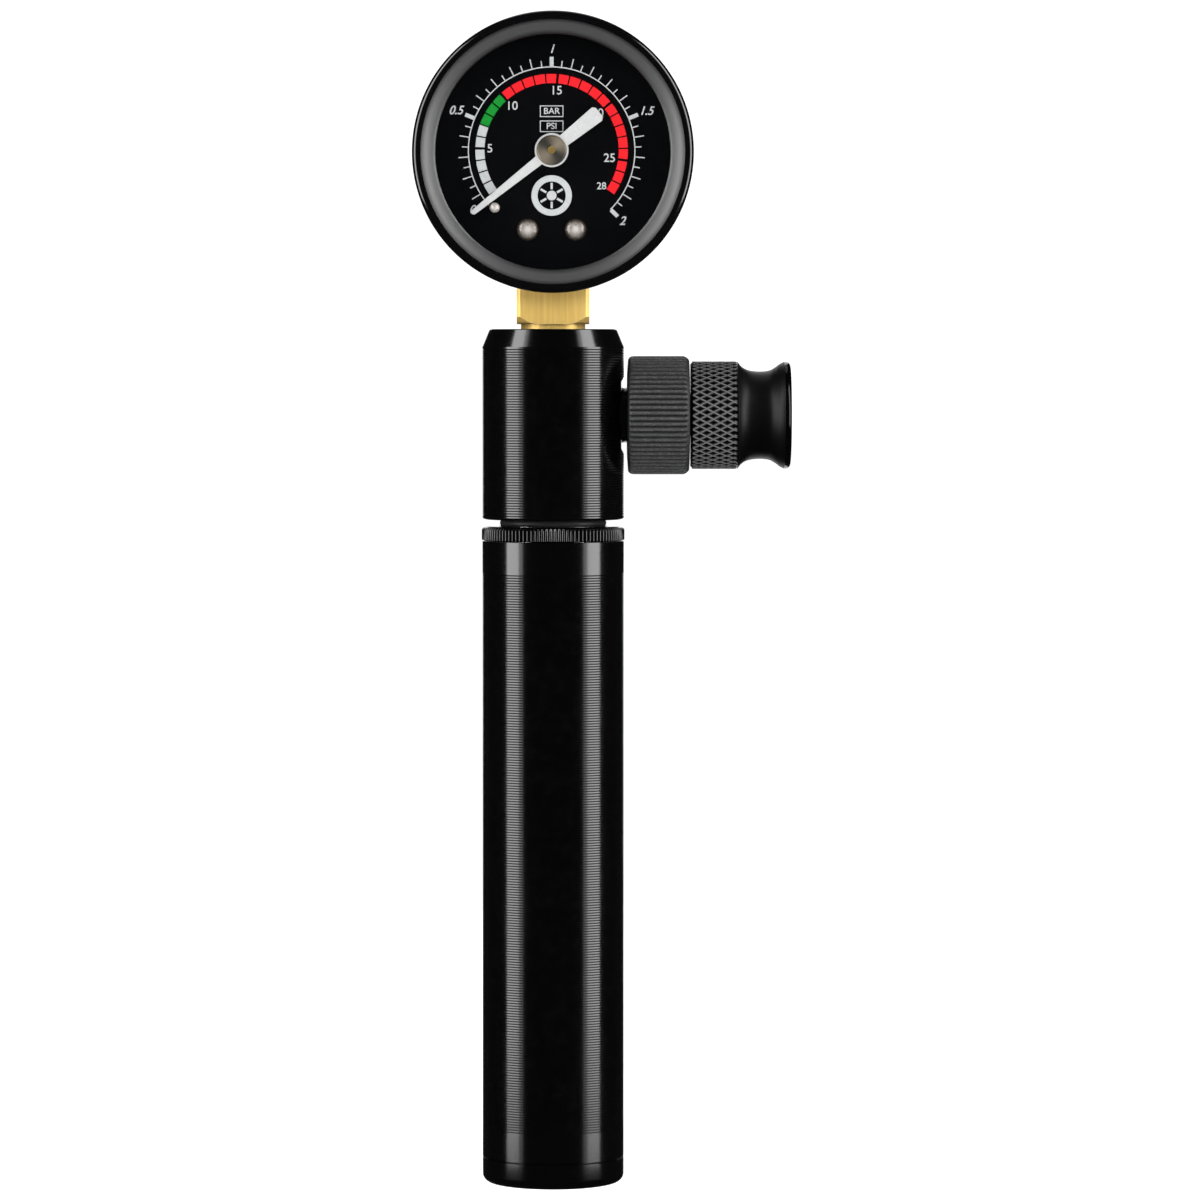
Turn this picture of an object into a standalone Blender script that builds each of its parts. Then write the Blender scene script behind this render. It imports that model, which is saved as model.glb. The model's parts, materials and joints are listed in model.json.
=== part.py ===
"""Hand air pump with a dial gauge on its head and a screw-on valve coupling at its side.

The pump stands on the end cap of its sliding handle, with its axis on Z and the origin at the
centre of the cap's flat face. The outlet points along +X and the dial faces -Y.
Dimensions are in millimetres and are turned into metres where a mesh or a location is made.
"""

import math

import bmesh
import bpy
from mathutils import Vector

MM = 0.001

# Handle: a 22 mm tube that slides on the barrel. Heights are measured from the cap's flat face.
GRIP_R = 11.0
GRIP_BORE = 10.0
CAP_TOP = 3.95
CAP_EDGE = 1.5
PLUG_R = 9.8
PLUG_TOP = 9.0
TUBE_BOTTOM = 4.15
TUBE_TOP = 99.65
COLLAR_R = 11.05
COLLAR_BOTTOM = 99.85
COLLAR_TOP = 102.0
COLLAR_PLUG = 93.8
BUSH_BOTTOM = 84.0

# Rod, piston and barrel.
ROD_R = 2.5
ROD_HOLE = 2.65
ROD_BOTTOM = 2.2
ROD_TOP = 109.0
BARREL_R = 7.9
BARREL_BORE = 7.0
BARREL_BOTTOM = 14.0
BARREL_TOP = 110.5
PISTON_R = 6.85
PISTON_BOTTOM = 100.0
PISTON_TOP = 106.0
PISTON_GROOVE_R = 5.3
NECK_RING_Z = 102.5
NECK_RING_THICK_R = 0.4

# Head: a turned block with the barrel's socket below, the gauge's socket above, the outlet at +X.
HEAD_BOTTOM = 103.05
HEAD_SHOULDER = 129.7
HEAD_TOP = 132.45
HEAD_TOP_R = 9.85
SOCKET_TOP = 112.0
VALVE_SEAT = 114.0
CHAMBER_R = 3.3
GAUGE_SOCKET_BOTTOM = 124.5
GAUGE_SOCKET_R = 5.1
OUTLET_Z = 119.15
SPOTFACE_X = 10.54
SPOTFACE_R = 6.0

# Coupling along +X: ribbed knob, then the knurled thumb nut with its flared mouth.
KNOB_START = 11.45
KNOB_END = 20.95
KNOB_R = 9.15
NUT_START = 21.2
NUT_KNURL_END = 28.5
NUT_END = 36.7
NUT_R = 8.325
STEM_BODY_R = 3.4
STEM_BORE = 1.3
THREAD_R = 3.95
INSERT_R = 5.3
INSERT_START = 25.2
INSERT_END = 34.5

# Gauge: its axis runs along -Y. In the gauge's frame x is right, y is up and z is toward the face.
GAUGE_Z = 159.4
BEZEL_R = 21.5
BEZEL_FRONT = 14.0
BEZEL_BACK = 8.2
LENS_OPENING_R = 17.9
CASE_R = 20.5
CASE_BORE = 19.5
CASE_BACK = -10.0
CASE_FRONT = 9.6
DIAL_BACK = 7.9
DIAL_FRONT = 8.4
DIAL_R = 19.1
SQUARE_FLAT = 5.6
SQUARE_CORNER_R = 7.55
COLLET_R = 4.975

# Movement behind the dial, in the gauge's frame.
HUB = Vector((-0.2, 0.37))
POINTER_REST = 218.4
POINTER_LENGTH = 15.6
TAIL_LENGTH = 9.3
PINION_TEETH = 12
PINION_PITCH_R = 1.5
SECTOR_PITCH_R = 9.0
SECTOR_DIRECTION = 140.0
SECTOR_TAIL = 4.5
SECTOR_TAIL_ANGLE = -60.0
BOURDON_R = 14.6
BOURDON_START = 247.0
BOURDON_END = -13.0
TIP_ANGLE = -19.5
DIAL_SCREWS = {"dial_screw_left": -3.88, "dial_screw_right": 3.48}
DIAL_SCREW_Y = -11.77
PLATE_SCREWS = {"plate_screw_left": -3.2, "plate_screw_right": 3.2}
PLATE_SCREW_Y = -11.0
BRIDGE_TOP = -8.9
BRIDGE_REAR_TOP = -13.2
PILLARS = [(-4.6, -6.9), (-4.6, 3.8), (4.6, 4.2), (10.8, -1.2)]

# Sides of a full turn.
LARGE = 40
MEDIUM = 20
SMALL = 12

# Finishes: colour, roughness, metallic.
BLACK_ANODISED = ((0.012, 0.012, 0.014), 0.28, 0.9)
BLACK_GLOSS = ((0.01, 0.01, 0.01), 0.12, 0.0)
BLACK_PLASTIC = ((0.02, 0.02, 0.02), 0.55, 0.0)
BRASS = ((0.68, 0.46, 0.18), 0.32, 1.0)
STEEL = ((0.55, 0.56, 0.58), 0.3, 1.0)
NICKEL = ((0.6, 0.6, 0.6), 0.25, 1.0)
DARK_NICKEL = ((0.18, 0.18, 0.19), 0.3, 1.0)
WHITE_PAINT = ((0.78, 0.78, 0.78), 0.45, 0.0)
BLACK_PAINT = ((0.006, 0.006, 0.008), 0.5, 0.0)
RUBBER = ((0.015, 0.015, 0.015), 0.7, 0.0)
WHITE_PLASTIC = ((0.72, 0.72, 0.7), 0.45, 0.0)
CLEAR = ((0.9, 0.92, 0.92), 0.05, 0.0)


def clear_scene():
    for old in list(bpy.data.objects):
        bpy.data.objects.remove(old, do_unlink=True)


def polar(radius, degrees, centre=(0.0, 0.0)):
    """The point at an angle counter-clockwise from +x on a circle."""
    angle = math.radians(degrees)
    return Vector((centre[0] + radius * math.cos(angle), centre[1] + radius * math.sin(angle)))


def arc(centre, radius, start, end, steps):
    """Points of a round stretch of an outline, both ends included."""
    span = end - start
    return [tuple(polar(radius, start + span * i / steps, centre)) for i in range(steps + 1)]


def frame(name, location, rotation_degrees):
    """An empty that carries the pieces lying along one axis of the pump."""
    empty = bpy.data.objects.new(name, None)
    empty.location = Vector(location) * MM
    empty.rotation_euler = [math.radians(a) for a in rotation_degrees]
    bpy.context.collection.objects.link(empty)
    return empty


def add_object(name, bm, finish, parent=None, location=(0, 0, 0), turn=0.0):
    """Turns a bmesh in millimetres into a named object in metres with its own material."""
    bmesh.ops.scale(bm, vec=(MM, MM, MM), verts=bm.verts)
    bmesh.ops.remove_doubles(bm, verts=bm.verts, dist=1e-7)
    bmesh.ops.recalc_face_normals(bm, faces=bm.faces)
    mesh = bpy.data.meshes.new(name)
    bm.to_mesh(mesh)
    bm.free()
    mesh.shade_smooth()
    mesh.set_sharp_from_angle(angle=math.radians(30))
    piece = bpy.data.objects.new(name, mesh)
    bpy.context.collection.objects.link(piece)
    piece.parent = parent
    piece.location = Vector(location) * MM
    piece.rotation_euler = (0, 0, math.radians(turn))
    if finish:
        paint(piece, finish)
    return piece


def paint(piece, finish):
    colour, roughness, metallic = finish
    material = bpy.data.materials.new(piece.name)
    material.use_nodes = True
    shader = material.node_tree.nodes["Principled BSDF"]
    shader.inputs["Base Color"].default_value = (*colour, 1.0)
    shader.inputs["Roughness"].default_value = roughness
    shader.inputs["Metallic"].default_value = metallic
    piece.data.materials.append(material)


def turned_mesh(profile, sides):
    """Spins a closed (radius, height) outline about Z."""
    bm = bmesh.new()
    verts = [bm.verts.new((r, 0, z)) for r, z in profile]
    edges = [bm.edges.new((verts[i - 1], verts[i])) for i in range(1, len(verts))]
    if profile[0][0] > 0 or profile[-1][0] > 0:
        edges.append(bm.edges.new((verts[-1], verts[0])))
    bmesh.ops.spin(
        bm,
        geom=verts + edges,
        cent=(0, 0, 0),
        axis=(0, 0, 1),
        angle=math.tau,
        steps=sides,
        use_merge=True,
    )
    bmesh.ops.remove_doubles(bm, verts=bm.verts, dist=1e-4)
    return bm


def turned(name, profile, finish, sides=LARGE, parent=None, location=(0, 0, 0)):
    return add_object(name, turned_mesh(profile, sides), finish, parent, location)


def tube_mesh(inner, outer, low, high, sides):
    return turned_mesh([(inner, low), (outer, low), (outer, high), (inner, high)], sides)


def ring(name, inner, outer, low, high, finish, sides=MEDIUM, parent=None, location=(0, 0, 0)):
    return add_object(name, tube_mesh(inner, outer, low, high, sides), finish, parent, location)


def o_ring(name, centre_r, thick_r, height, finish, sides=LARGE):
    """A rubber ring of round section about Z."""
    profile = arc((centre_r, height), thick_r, 0, 360, 6)[:-1]
    return turned(name, profile, finish, sides)


def plate_mesh(outline, low, high, holes=()):
    """Fills an outline, with round holes given as (x, y, radius, sides), and extrudes it."""
    bm = bmesh.new()
    loops = [outline]
    for x, y, radius, sides in holes:
        loops.append(arc((x, y), radius, 0, 360, sides)[:-1])
    edges = []
    for points in loops:
        verts = [bm.verts.new((x, y, low)) for x, y in points]
        edges += [bm.edges.new((verts[i - 1], verts[i])) for i in range(len(verts))]
    bmesh.ops.triangle_fill(bm, use_beauty=True, use_dissolve=False, edges=edges)
    raised = bmesh.ops.extrude_face_region(bm, geom=list(bm.faces))
    top = [v for v in raised["geom"] if isinstance(v, bmesh.types.BMVert)]
    bmesh.ops.translate(bm, vec=(0, 0, high - low), verts=top)
    return bm


def plate(name, outline, low, high, finish, holes=(), parent=None, location=(0, 0, 0), turn=0.0):
    bm = plate_mesh(outline, low, high, holes)
    return add_object(name, bm, finish, parent, location, turn)


def box_mesh(low, high):
    bm = bmesh.new()
    bmesh.ops.create_cube(bm, size=1.0)
    size = Vector(high) - Vector(low)
    bmesh.ops.scale(bm, vec=size, verts=bm.verts)
    bmesh.ops.translate(bm, vec=(Vector(low) + Vector(high)) / 2, verts=bm.verts)
    return bm


def shape(piece, operation, bm, parent=None, location=(0, 0, 0)):
    """Joins, cuts or trims a piece with a second mesh that stays hidden."""
    tool = add_object(f"{piece.name}_{operation.lower()}", bm, None, parent, location)
    tool.hide_render = True
    tool.display_type = "WIRE"
    modifier = piece.modifiers.new(tool.name, "BOOLEAN")
    modifier.operation = operation
    modifier.solver = "EXACT"
    modifier.object = tool


def hexagon(across_flats):
    corner_r = across_flats / math.sqrt(3)
    return arc((0, 0), corner_r, 0, 360, 6)[:-1]


def nut(name, across_flats, low, high):
    return plate(name, hexagon(across_flats), low, high, STEEL, holes=[(0, 0, ROD_HOLE, SMALL)])


def cylinder_mesh(radius, low, high, sides):
    return turned_mesh([(0, low), (radius, low), (radius, high), (0, high)], sides)


# Handle ------------------------------------------------------------------------------------


def make_end_cap():
    """Screwed into the tube's foot, with a blind hole for the rod."""
    boss_r, wall_r, floor, hole_floor = 4.5, 8.2, 5.0, 2.0
    corner = arc((GRIP_R - CAP_EDGE, CAP_EDGE), CAP_EDGE, -90, 0, 5)
    profile = [(0, 0), *corner, (GRIP_R, CAP_TOP), (PLUG_R, CAP_TOP), (PLUG_R, PLUG_TOP)]
    profile += [(wall_r, PLUG_TOP), (wall_r, floor), (boss_r, floor), (boss_r, PLUG_TOP)]
    profile += [(ROD_HOLE, PLUG_TOP), (ROD_HOLE, hole_floor), (0, hole_floor)]
    turned("end_cap", profile, BLACK_ANODISED)


def make_handle_tube():
    edge = 0.2
    profile = [(GRIP_R - edge, TUBE_BOTTOM), (GRIP_R, TUBE_BOTTOM + edge)]
    profile += [(GRIP_R, TUBE_TOP - edge), (GRIP_R - edge, TUBE_TOP)]
    profile += [(GRIP_BORE, TUBE_TOP), (GRIP_BORE, TUBE_BOTTOM)]
    turned("handle_tube", profile, BLACK_ANODISED)


def make_handle_collar():
    """Closes the tube's mouth and slides on the barrel."""
    chamfer, bore = 0.5, BARREL_R + 0.3
    profile = [(bore, COLLAR_PLUG), (PLUG_R, COLLAR_PLUG), (PLUG_R, COLLAR_BOTTOM)]
    profile += [(COLLAR_R, COLLAR_BOTTOM), (COLLAR_R, COLLAR_TOP - chamfer)]
    profile += [(COLLAR_R - chamfer, COLLAR_TOP), (bore, COLLAR_TOP)]
    turned("handle_collar", profile, BLACK_ANODISED)


def make_handle():
    make_end_cap()
    make_handle_tube()
    make_handle_collar()
    ring("guide_bush", BARREL_R + 0.2, PLUG_R, BUSH_BOTTOM, COLLAR_PLUG - 0.3, WHITE_PLASTIC)


# Rod, piston and barrel --------------------------------------------------------------------


def make_rod():
    edge = 0.4
    profile = [(0, ROD_BOTTOM), (ROD_R - edge, ROD_BOTTOM), (ROD_R, ROD_BOTTOM + edge)]
    profile += [(ROD_R, ROD_TOP - edge), (ROD_R - edge, ROD_TOP), (0, ROD_TOP)]
    turned("piston_rod", profile, STEEL, SMALL)
    nut("rod_nut", 8.0, PLUG_TOP + 0.2, PLUG_TOP + 2.8)
    nut("piston_nut", 7.0, PISTON_TOP + 0.2, PISTON_TOP + 2.4)
    ring("rod_bumper", ROD_HOLE, 5.0, PISTON_BOTTOM - 1.8, PISTON_BOTTOM - 0.2, RUBBER, SMALL)


def make_piston():
    """A grooved disc whose rubber ring seals against the barrel's bore."""
    middle = (PISTON_BOTTOM + PISTON_TOP) / 2
    half_groove = 0.95
    profile = [(ROD_HOLE, PISTON_BOTTOM), (PISTON_R, PISTON_BOTTOM)]
    profile += [(PISTON_R, middle - half_groove), (PISTON_GROOVE_R, middle - half_groove)]
    profile += [(PISTON_GROOVE_R, middle + half_groove), (PISTON_R, middle + half_groove)]
    profile += [(PISTON_R, PISTON_TOP), (ROD_HOLE, PISTON_TOP)]
    turned("piston_head", profile, WHITE_PLASTIC, MEDIUM)
    o_ring("piston_ring", PISTON_GROOVE_R + 0.85, 0.74, middle, RUBBER, MEDIUM)


def make_barrel():
    """The inner tube screwed into the head, with a groove for the neck ring."""
    half_groove, groove_r = 0.5, 7.3
    profile = [(BARREL_BORE, BARREL_BOTTOM), (BARREL_R, BARREL_BOTTOM)]
    profile += [(BARREL_R, NECK_RING_Z - half_groove), (groove_r, NECK_RING_Z - half_groove)]
    profile += [(groove_r, NECK_RING_Z + half_groove), (BARREL_R, NECK_RING_Z + half_groove)]
    profile += [(BARREL_R, BARREL_TOP), (BARREL_BORE, BARREL_TOP)]
    turned("pump_barrel", profile, STEEL)
    o_ring("neck_ring", groove_r + NECK_RING_THICK_R + 0.15, NECK_RING_THICK_R, NECK_RING_Z, RUBBER)
    ring("barrel_seal", BARREL_BORE, BARREL_R, BARREL_TOP + 0.3, SOCKET_TOP - 0.3, RUBBER)


def make_rod_guide():
    """The plug in the barrel's foot that the rod runs through."""
    flange_r, flange_bottom, top = 7.7, 12.6, 23.0
    seat = BARREL_BOTTOM - 0.2
    profile = [(ROD_HOLE, flange_bottom), (flange_r, flange_bottom), (flange_r, seat)]
    profile += [(PISTON_R, seat), (PISTON_R, top), (ROD_HOLE, top)]
    turned("rod_guide", profile, WHITE_PLASTIC, MEDIUM)


# Head --------------------------------------------------------------------------------------


def make_head():
    edge, orifice = 0.4, 1.6
    socket_r = BARREL_R + 0.2
    corner = arc((GRIP_R - edge, HEAD_BOTTOM + edge), edge, -90, 0, 3)
    profile = [(socket_r, HEAD_BOTTOM), *corner, (GRIP_R, HEAD_SHOULDER), (HEAD_TOP_R, HEAD_TOP)]
    profile += [(GAUGE_SOCKET_R, HEAD_TOP), (GAUGE_SOCKET_R, GAUGE_SOCKET_BOTTOM)]
    profile += [(CHAMBER_R, GAUGE_SOCKET_BOTTOM), (CHAMBER_R, VALVE_SEAT)]
    profile += [(orifice, VALVE_SEAT), (orifice, SOCKET_TOP), (socket_r, SOCKET_TOP)]
    return turned("pump_head", profile, BLACK_ANODISED)


def cut_outlet(head, outlet):
    """The passage, the threaded socket and the flat spotface, all on the outlet's axis."""
    passage, socket_r, socket_floor, beyond = 2.2, 4.1, 4.0, 16.0
    profile = [(0, 0), (passage, 0), (passage, socket_floor), (socket_r, socket_floor)]
    profile += [(socket_r, SPOTFACE_X), (SPOTFACE_R, SPOTFACE_X), (SPOTFACE_R, beyond), (0, beyond)]
    shape(head, "DIFFERENCE", turned_mesh(profile, MEDIUM), outlet)


def make_check_valve():
    """A small poppet held on its seat by a coil spring."""
    disc_r, stem_r, disc_top, stem_top = 2.7, 0.9, 1.4, 4.3
    profile = [(0, 0), (disc_r, 0), (disc_r, disc_top), (stem_r, disc_top)]
    profile += [(stem_r, stem_top), (0, stem_top)]
    turned("check_valve", profile, BRASS, SMALL, location=(0, 0, VALVE_SEAT + 0.2))


def make_valve_spring():
    """A helix swept with a round wire."""
    turns, coil_r, wire_r, low, high, steps, wire_sides = 5, 1.9, 0.25, 116.15, 124.0, 12, 5
    bm = bmesh.new()
    rings = []
    for i in range(turns * steps + 1):
        angle = math.tau * i / steps
        height = low + (high - low) * i / (turns * steps)
        outward = Vector((math.cos(angle), math.sin(angle), 0))
        centre = outward * coil_r + Vector((0, 0, height))
        section = arc((0, 0), wire_r, 0, 360, wire_sides)[:-1]
        rings.append([bm.verts.new(centre + outward * u + Vector((0, 0, v))) for u, v in section])
    sweep_faces(bm, rings)
    add_object("valve_spring", bm, STEEL)


def sweep_faces(bm, rings):
    """Skins a row of equal rings and closes both ends."""
    for first, second in zip(rings, rings[1:]):
        for i in range(len(first)):
            bm.faces.new((first[i - 1], first[i], second[i], second[i - 1]))
    bm.faces.new(rings[0])
    bm.faces.new(rings[-1])


# Coupling ----------------------------------------------------------------------------------


def make_stem(outlet):
    """Hollow stem screwed into the head, with a flange that keeps the thumb nut on."""
    start, root_r, neck_r, neck_end = 5.0, 3.9, 4.3, 12.4
    flange_start, flange_end, flange_r = 23.0, 24.5, 5.0
    profile = [(STEM_BORE, start), (root_r, start), (root_r, SPOTFACE_X + 0.1)]
    profile += [(neck_r, SPOTFACE_X + 0.1), (neck_r, neck_end), (STEM_BODY_R, neck_end)]
    profile += [(STEM_BODY_R, flange_start), (flange_r, flange_start), (flange_r, flange_end)]
    profile += [(STEM_BORE, flange_end)]
    stem = turned("outlet_stem", profile, BLACK_ANODISED, MEDIUM, outlet)
    half_slot, reach = 0.8, 5.0
    slot = box_mesh((-half_slot, -reach, 15.0), (half_slot, reach, 18.9))
    shape(stem, "DIFFERENCE", slot, outlet)
    ring("stem_seal", 1.6, 3.9, 4.2, 4.8, RUBBER, SMALL, outlet)
    ring("valve_seal", 1.4, THREAD_R - 0.15, flange_end + 0.3, 27.3, RUBBER, SMALL, outlet)


def make_knob(outlet):
    """Turning the knob drives the cross pin, and with it the core pin, along the stem."""
    bore, neck_bore, cam_r, cam_start, cam_end = 3.6, 4.6, 4.9, 14.9, 19.0
    profile = [(neck_bore, KNOB_START), (6.7, KNOB_START), (8.7, KNOB_START + 0.35)]
    profile += [(KNOB_R, KNOB_START + 1.0), (KNOB_R, KNOB_END - 0.9), (8.7, KNOB_END)]
    profile += [(bore, KNOB_END), (bore, cam_end), (cam_r, cam_end), (cam_r, cam_start)]
    profile += [(bore, cam_start), (bore, 12.7), (neck_bore, 12.7)]
    turned("pin_knob", profile, BLACK_PLASTIC, LARGE, outlet)


def make_core_pin(outlet):
    pin_r, start, end, cross_at, cross_r, cross_reach = 0.9, 8.0, 27.1, 16.0, 0.55, 4.5
    profile = [(0, start), (pin_r, start), (pin_r, end - 0.4), (pin_r - 0.4, end), (0, end)]
    pin = turned("core_pin", profile, STEEL, SMALL, outlet)
    carrier = frame("cross_pin_axis", (0, 0, 0), (90, 0, 0))
    carrier.parent = outlet
    carrier.location = Vector((0, 0, cross_at)) * MM
    hole = cylinder_mesh(cross_r + 0.1, -2, 2, 12)
    shape(pin, "DIFFERENCE", hole, carrier)
    bm = cylinder_mesh(cross_r, -cross_reach, cross_reach, 12)
    add_object("cross_pin", bm, STEEL, carrier)


def make_thumb_nut(outlet):
    """Knurled part, waist and flared mouth, with a shouldered bore for the thread insert."""
    back_bore, back_end, bore, mouth_r = STEM_BODY_R + 0.2, 22.7, INSERT_R + 0.15, 7.3
    profile = [(back_bore, NUT_START), (NUT_R - 0.4, NUT_START), (NUT_R, NUT_START + 0.4)]
    profile += [(NUT_R, NUT_KNURL_END), (7.5, 29.3), (7.0, 30.6), (6.88, 31.9), (7.0, 33.1)]
    profile += [(7.4, 34.3), (7.9, 35.0), (8.3, 35.7), (8.2, 36.3), (7.9, NUT_END)]
    profile += [(mouth_r, NUT_END), (bore, INSERT_END + 0.3), (bore, back_end), (back_bore, back_end)]
    turned("thumb_nut", profile, BLACK_ANODISED, LARGE, outlet)
    ring("thread_insert", THREAD_R, INSERT_R, INSERT_START, INSERT_END, BRASS, MEDIUM, outlet)


# Gauge -------------------------------------------------------------------------------------


def make_gauge_socket(gauge):
    """Square brass bar turned to a threaded stem below, with the movement's bridge on top."""
    bottom, bore, square_top, chamfer = 126.0, 1.1, 142.0, 0.9
    square_bottom = 133.2
    profile = [(bore, bottom), (GAUGE_SOCKET_R - 0.2, bottom), (GAUGE_SOCKET_R - 0.2, HEAD_TOP)]
    profile += [(COLLET_R, HEAD_TOP), (COLLET_R, square_bottom), (5.9, square_bottom)]
    profile += [(SQUARE_CORNER_R, square_bottom + chamfer), (SQUARE_CORNER_R, square_top)]
    profile += [(bore, square_top)]
    socket = turned("gauge_socket", profile, BRASS, LARGE)
    flat, below = SQUARE_FLAT, bottom - 5
    shape(socket, "INTERSECT", box_mesh((-flat, -flat, below), (flat, flat, square_top + 1)))
    side, low = 5.5, -18.4
    front, step, back = 7.6, 1.0, -5.6
    outline = [(back, low), (front, low), (front, BRIDGE_TOP), (step, BRIDGE_TOP)]
    outline += [(step, BRIDGE_REAR_TOP), (back, BRIDGE_REAR_TOP)]
    bridge = plate_mesh(outline, -side, side)
    for v in bridge.verts:
        v.co = Vector((v.co.z, v.co.y, v.co.x))
    shape(socket, "UNION", bridge, gauge)
    for x in DIAL_SCREWS.values():
        hole = cylinder_mesh(1.0, 3.2, front + 2, 12)
        shape(socket, "DIFFERENCE", hole, gauge, (x, DIAL_SCREW_Y, 0))
    for x in PLATE_SCREWS.values():
        hole = cylinder_mesh(0.8, step - 2, 2.6, 12)
        shape(socket, "DIFFERENCE", hole, gauge, (x, PLATE_SCREW_Y, 0))


def make_case(gauge):
    """A deep cup with a round hole at the bottom that the square bar passes through."""
    corner_r, back_inside = 2.0, CASE_BACK + 1.0
    corner = arc((CASE_R - corner_r, CASE_BACK + corner_r), corner_r, -90, 0, 4)
    profile = [(0, CASE_BACK), *corner, (CASE_R, CASE_FRONT), (CASE_BORE, CASE_FRONT)]
    profile += [(CASE_BORE, back_inside + 1.2), (CASE_BORE - 1.2, back_inside), (0, back_inside)]
    case = turned("gauge_case", profile, BLACK_GLOSS, LARGE, gauge)
    hole_bottom, hole_top = GAUGE_Z - CASE_R - 2.9, GAUGE_Z - CASE_BORE + 2.0
    shape(case, "DIFFERENCE", cylinder_mesh(SQUARE_CORNER_R + 0.35, hole_bottom, hole_top, MEDIUM))


def make_bezel(gauge):
    """Rolled rim with a slanted inner ring that holds the lens."""
    lip_r, skirt_bore, lens_seat = 0.7, CASE_R + 0.15, 12.25
    crest = (BEZEL_R - lip_r, BEZEL_FRONT - lip_r)
    profile = [(skirt_bore, BEZEL_BACK), (BEZEL_R - 0.2, BEZEL_BACK), (BEZEL_R, BEZEL_BACK + 0.2)]
    profile += arc(crest, lip_r, 0, 180, 6)
    profile += [(18.4, 12.85), (LENS_OPENING_R, 12.5), (LENS_OPENING_R, lens_seat)]
    profile += [(skirt_bore, lens_seat)]
    turned("bezel_ring", profile, BLACK_GLOSS, LARGE, gauge)
    lens_r, lens_back, lens_front = CASE_R - 0.2, 10.9, 12.0
    profile = [(0, lens_back), (lens_r, lens_back), (lens_r, lens_front), (0, lens_front)]
    turned("gauge_lens", profile, CLEAR, LARGE, gauge)
    gasket = (CASE_FRONT + 0.2, lens_back - 0.2)
    ring("lens_gasket", CASE_BORE - 0.2, lens_r, *gasket, RUBBER, LARGE, gauge)


def make_dial(gauge):
    outline = arc((0, 0), DIAL_R, 0, 360, LARGE)[:-1]
    pin_at = polar(12.38, 225.2, HUB)
    holes = [(HUB.x, HUB.y, 1.6, 16), (pin_at.x, pin_at.y, 0.7, 12)]
    holes += [(x, DIAL_SCREW_Y, 1.1, 12) for x in DIAL_SCREWS.values()]
    plate("dial_plate", outline, DIAL_BACK, DIAL_FRONT, BLACK_PAINT, holes, gauge)
    profile = [(0, 7.0), (0.45, 7.0), (0.45, 8.6), (0.8, 8.6), (0.8, 9.8), (0.6, 10.0), (0, 10.0)]
    turned("zero_stop_pin", profile, NICKEL, 16, gauge, (pin_at.x, pin_at.y, 0))
    dome = [(1.65, 8.65), (1.65, 8.9), (1.2, 9.15), (0, 9.25)]
    profile = [(0, 3.5), (0.8, 3.5), (0.8, 8.65), *dome]
    for name, x in DIAL_SCREWS.items():
        turned(name, profile, NICKEL, SMALL, gauge, (x, DIAL_SCREW_Y, 0))


def make_pointer(gauge):
    """Needle and tail cut from one strip, lying toward the zero stop."""
    low, high, boss_r, bore = 9.3, 9.7, 2.6, 0.75
    tip_r, needle_half, tail_half, tail_end_half = 0.41, 0.77, 0.97, 1.3
    outline = arc((POINTER_LENGTH - tip_r, 0), tip_r, -90, 90, 6)
    needle_angle = math.degrees(math.asin(needle_half / boss_r))
    tail_angle = math.degrees(math.asin(tail_half / boss_r))
    outline += arc((0, 0), boss_r, needle_angle, 180 - tail_angle, 8)
    outline += [(-TAIL_LENGTH, tail_end_half), (-TAIL_LENGTH, -tail_end_half)]
    outline += arc((0, 0), boss_r, 180 + tail_angle, 360 - needle_angle, 8)
    holes = [(0, 0, bore, 16)]
    at_hub = (HUB.x, HUB.y, 0)
    plate("pointer", outline, low, high, WHITE_PAINT, holes, gauge, at_hub, POINTER_REST)
    ring("pointer_hub", bore, 2.2, high + 0.15, high + 0.6, DARK_NICKEL, MEDIUM, gauge, at_hub)


def gear_outline(teeth, pitch_r, tooth_depth, start_angle, count):
    """Straight-sided teeth on a circle, each with a root and a crest."""
    pitch = 360.0 / teeth
    points = []
    for i in range(count):
        middle = start_angle + pitch * i
        root_r, crest_r = pitch_r - tooth_depth / 2, pitch_r + tooth_depth / 2
        points.append(tuple(polar(root_r, middle - 0.36 * pitch)))
        points.append(tuple(polar(crest_r, middle - 0.12 * pitch)))
        points.append(tuple(polar(crest_r, middle + 0.12 * pitch)))
        points.append(tuple(polar(root_r, middle + 0.36 * pitch)))
    return points


def make_pinion(gauge):
    """Arbor with a small gear, standing in both movement plates and carrying the pointer."""
    toward_sector = SECTOR_DIRECTION - 180
    outline = gear_outline(PINION_TEETH, PINION_PITCH_R, 0.45, toward_sector, PINION_TEETH)
    bm = plate_mesh(outline, 2.3, 3.7)
    arbor = add_object("pinion_arbor", bm, BRASS, gauge, (HUB.x, HUB.y, 0))
    profile = [(0, 0.1), (0.5, 0.1), (0.5, 1.2), (0.8, 1.2), (0.8, 4.5), (0.6, 4.5)]
    profile += [(0.6, 10.5), (0, 10.5)]
    shape(arbor, "UNION", turned_mesh(profile, 16), gauge, (HUB.x, HUB.y, 0))


def sector_pivot():
    return HUB - polar(PINION_PITCH_R + SECTOR_PITCH_R, SECTOR_DIRECTION)


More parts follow.
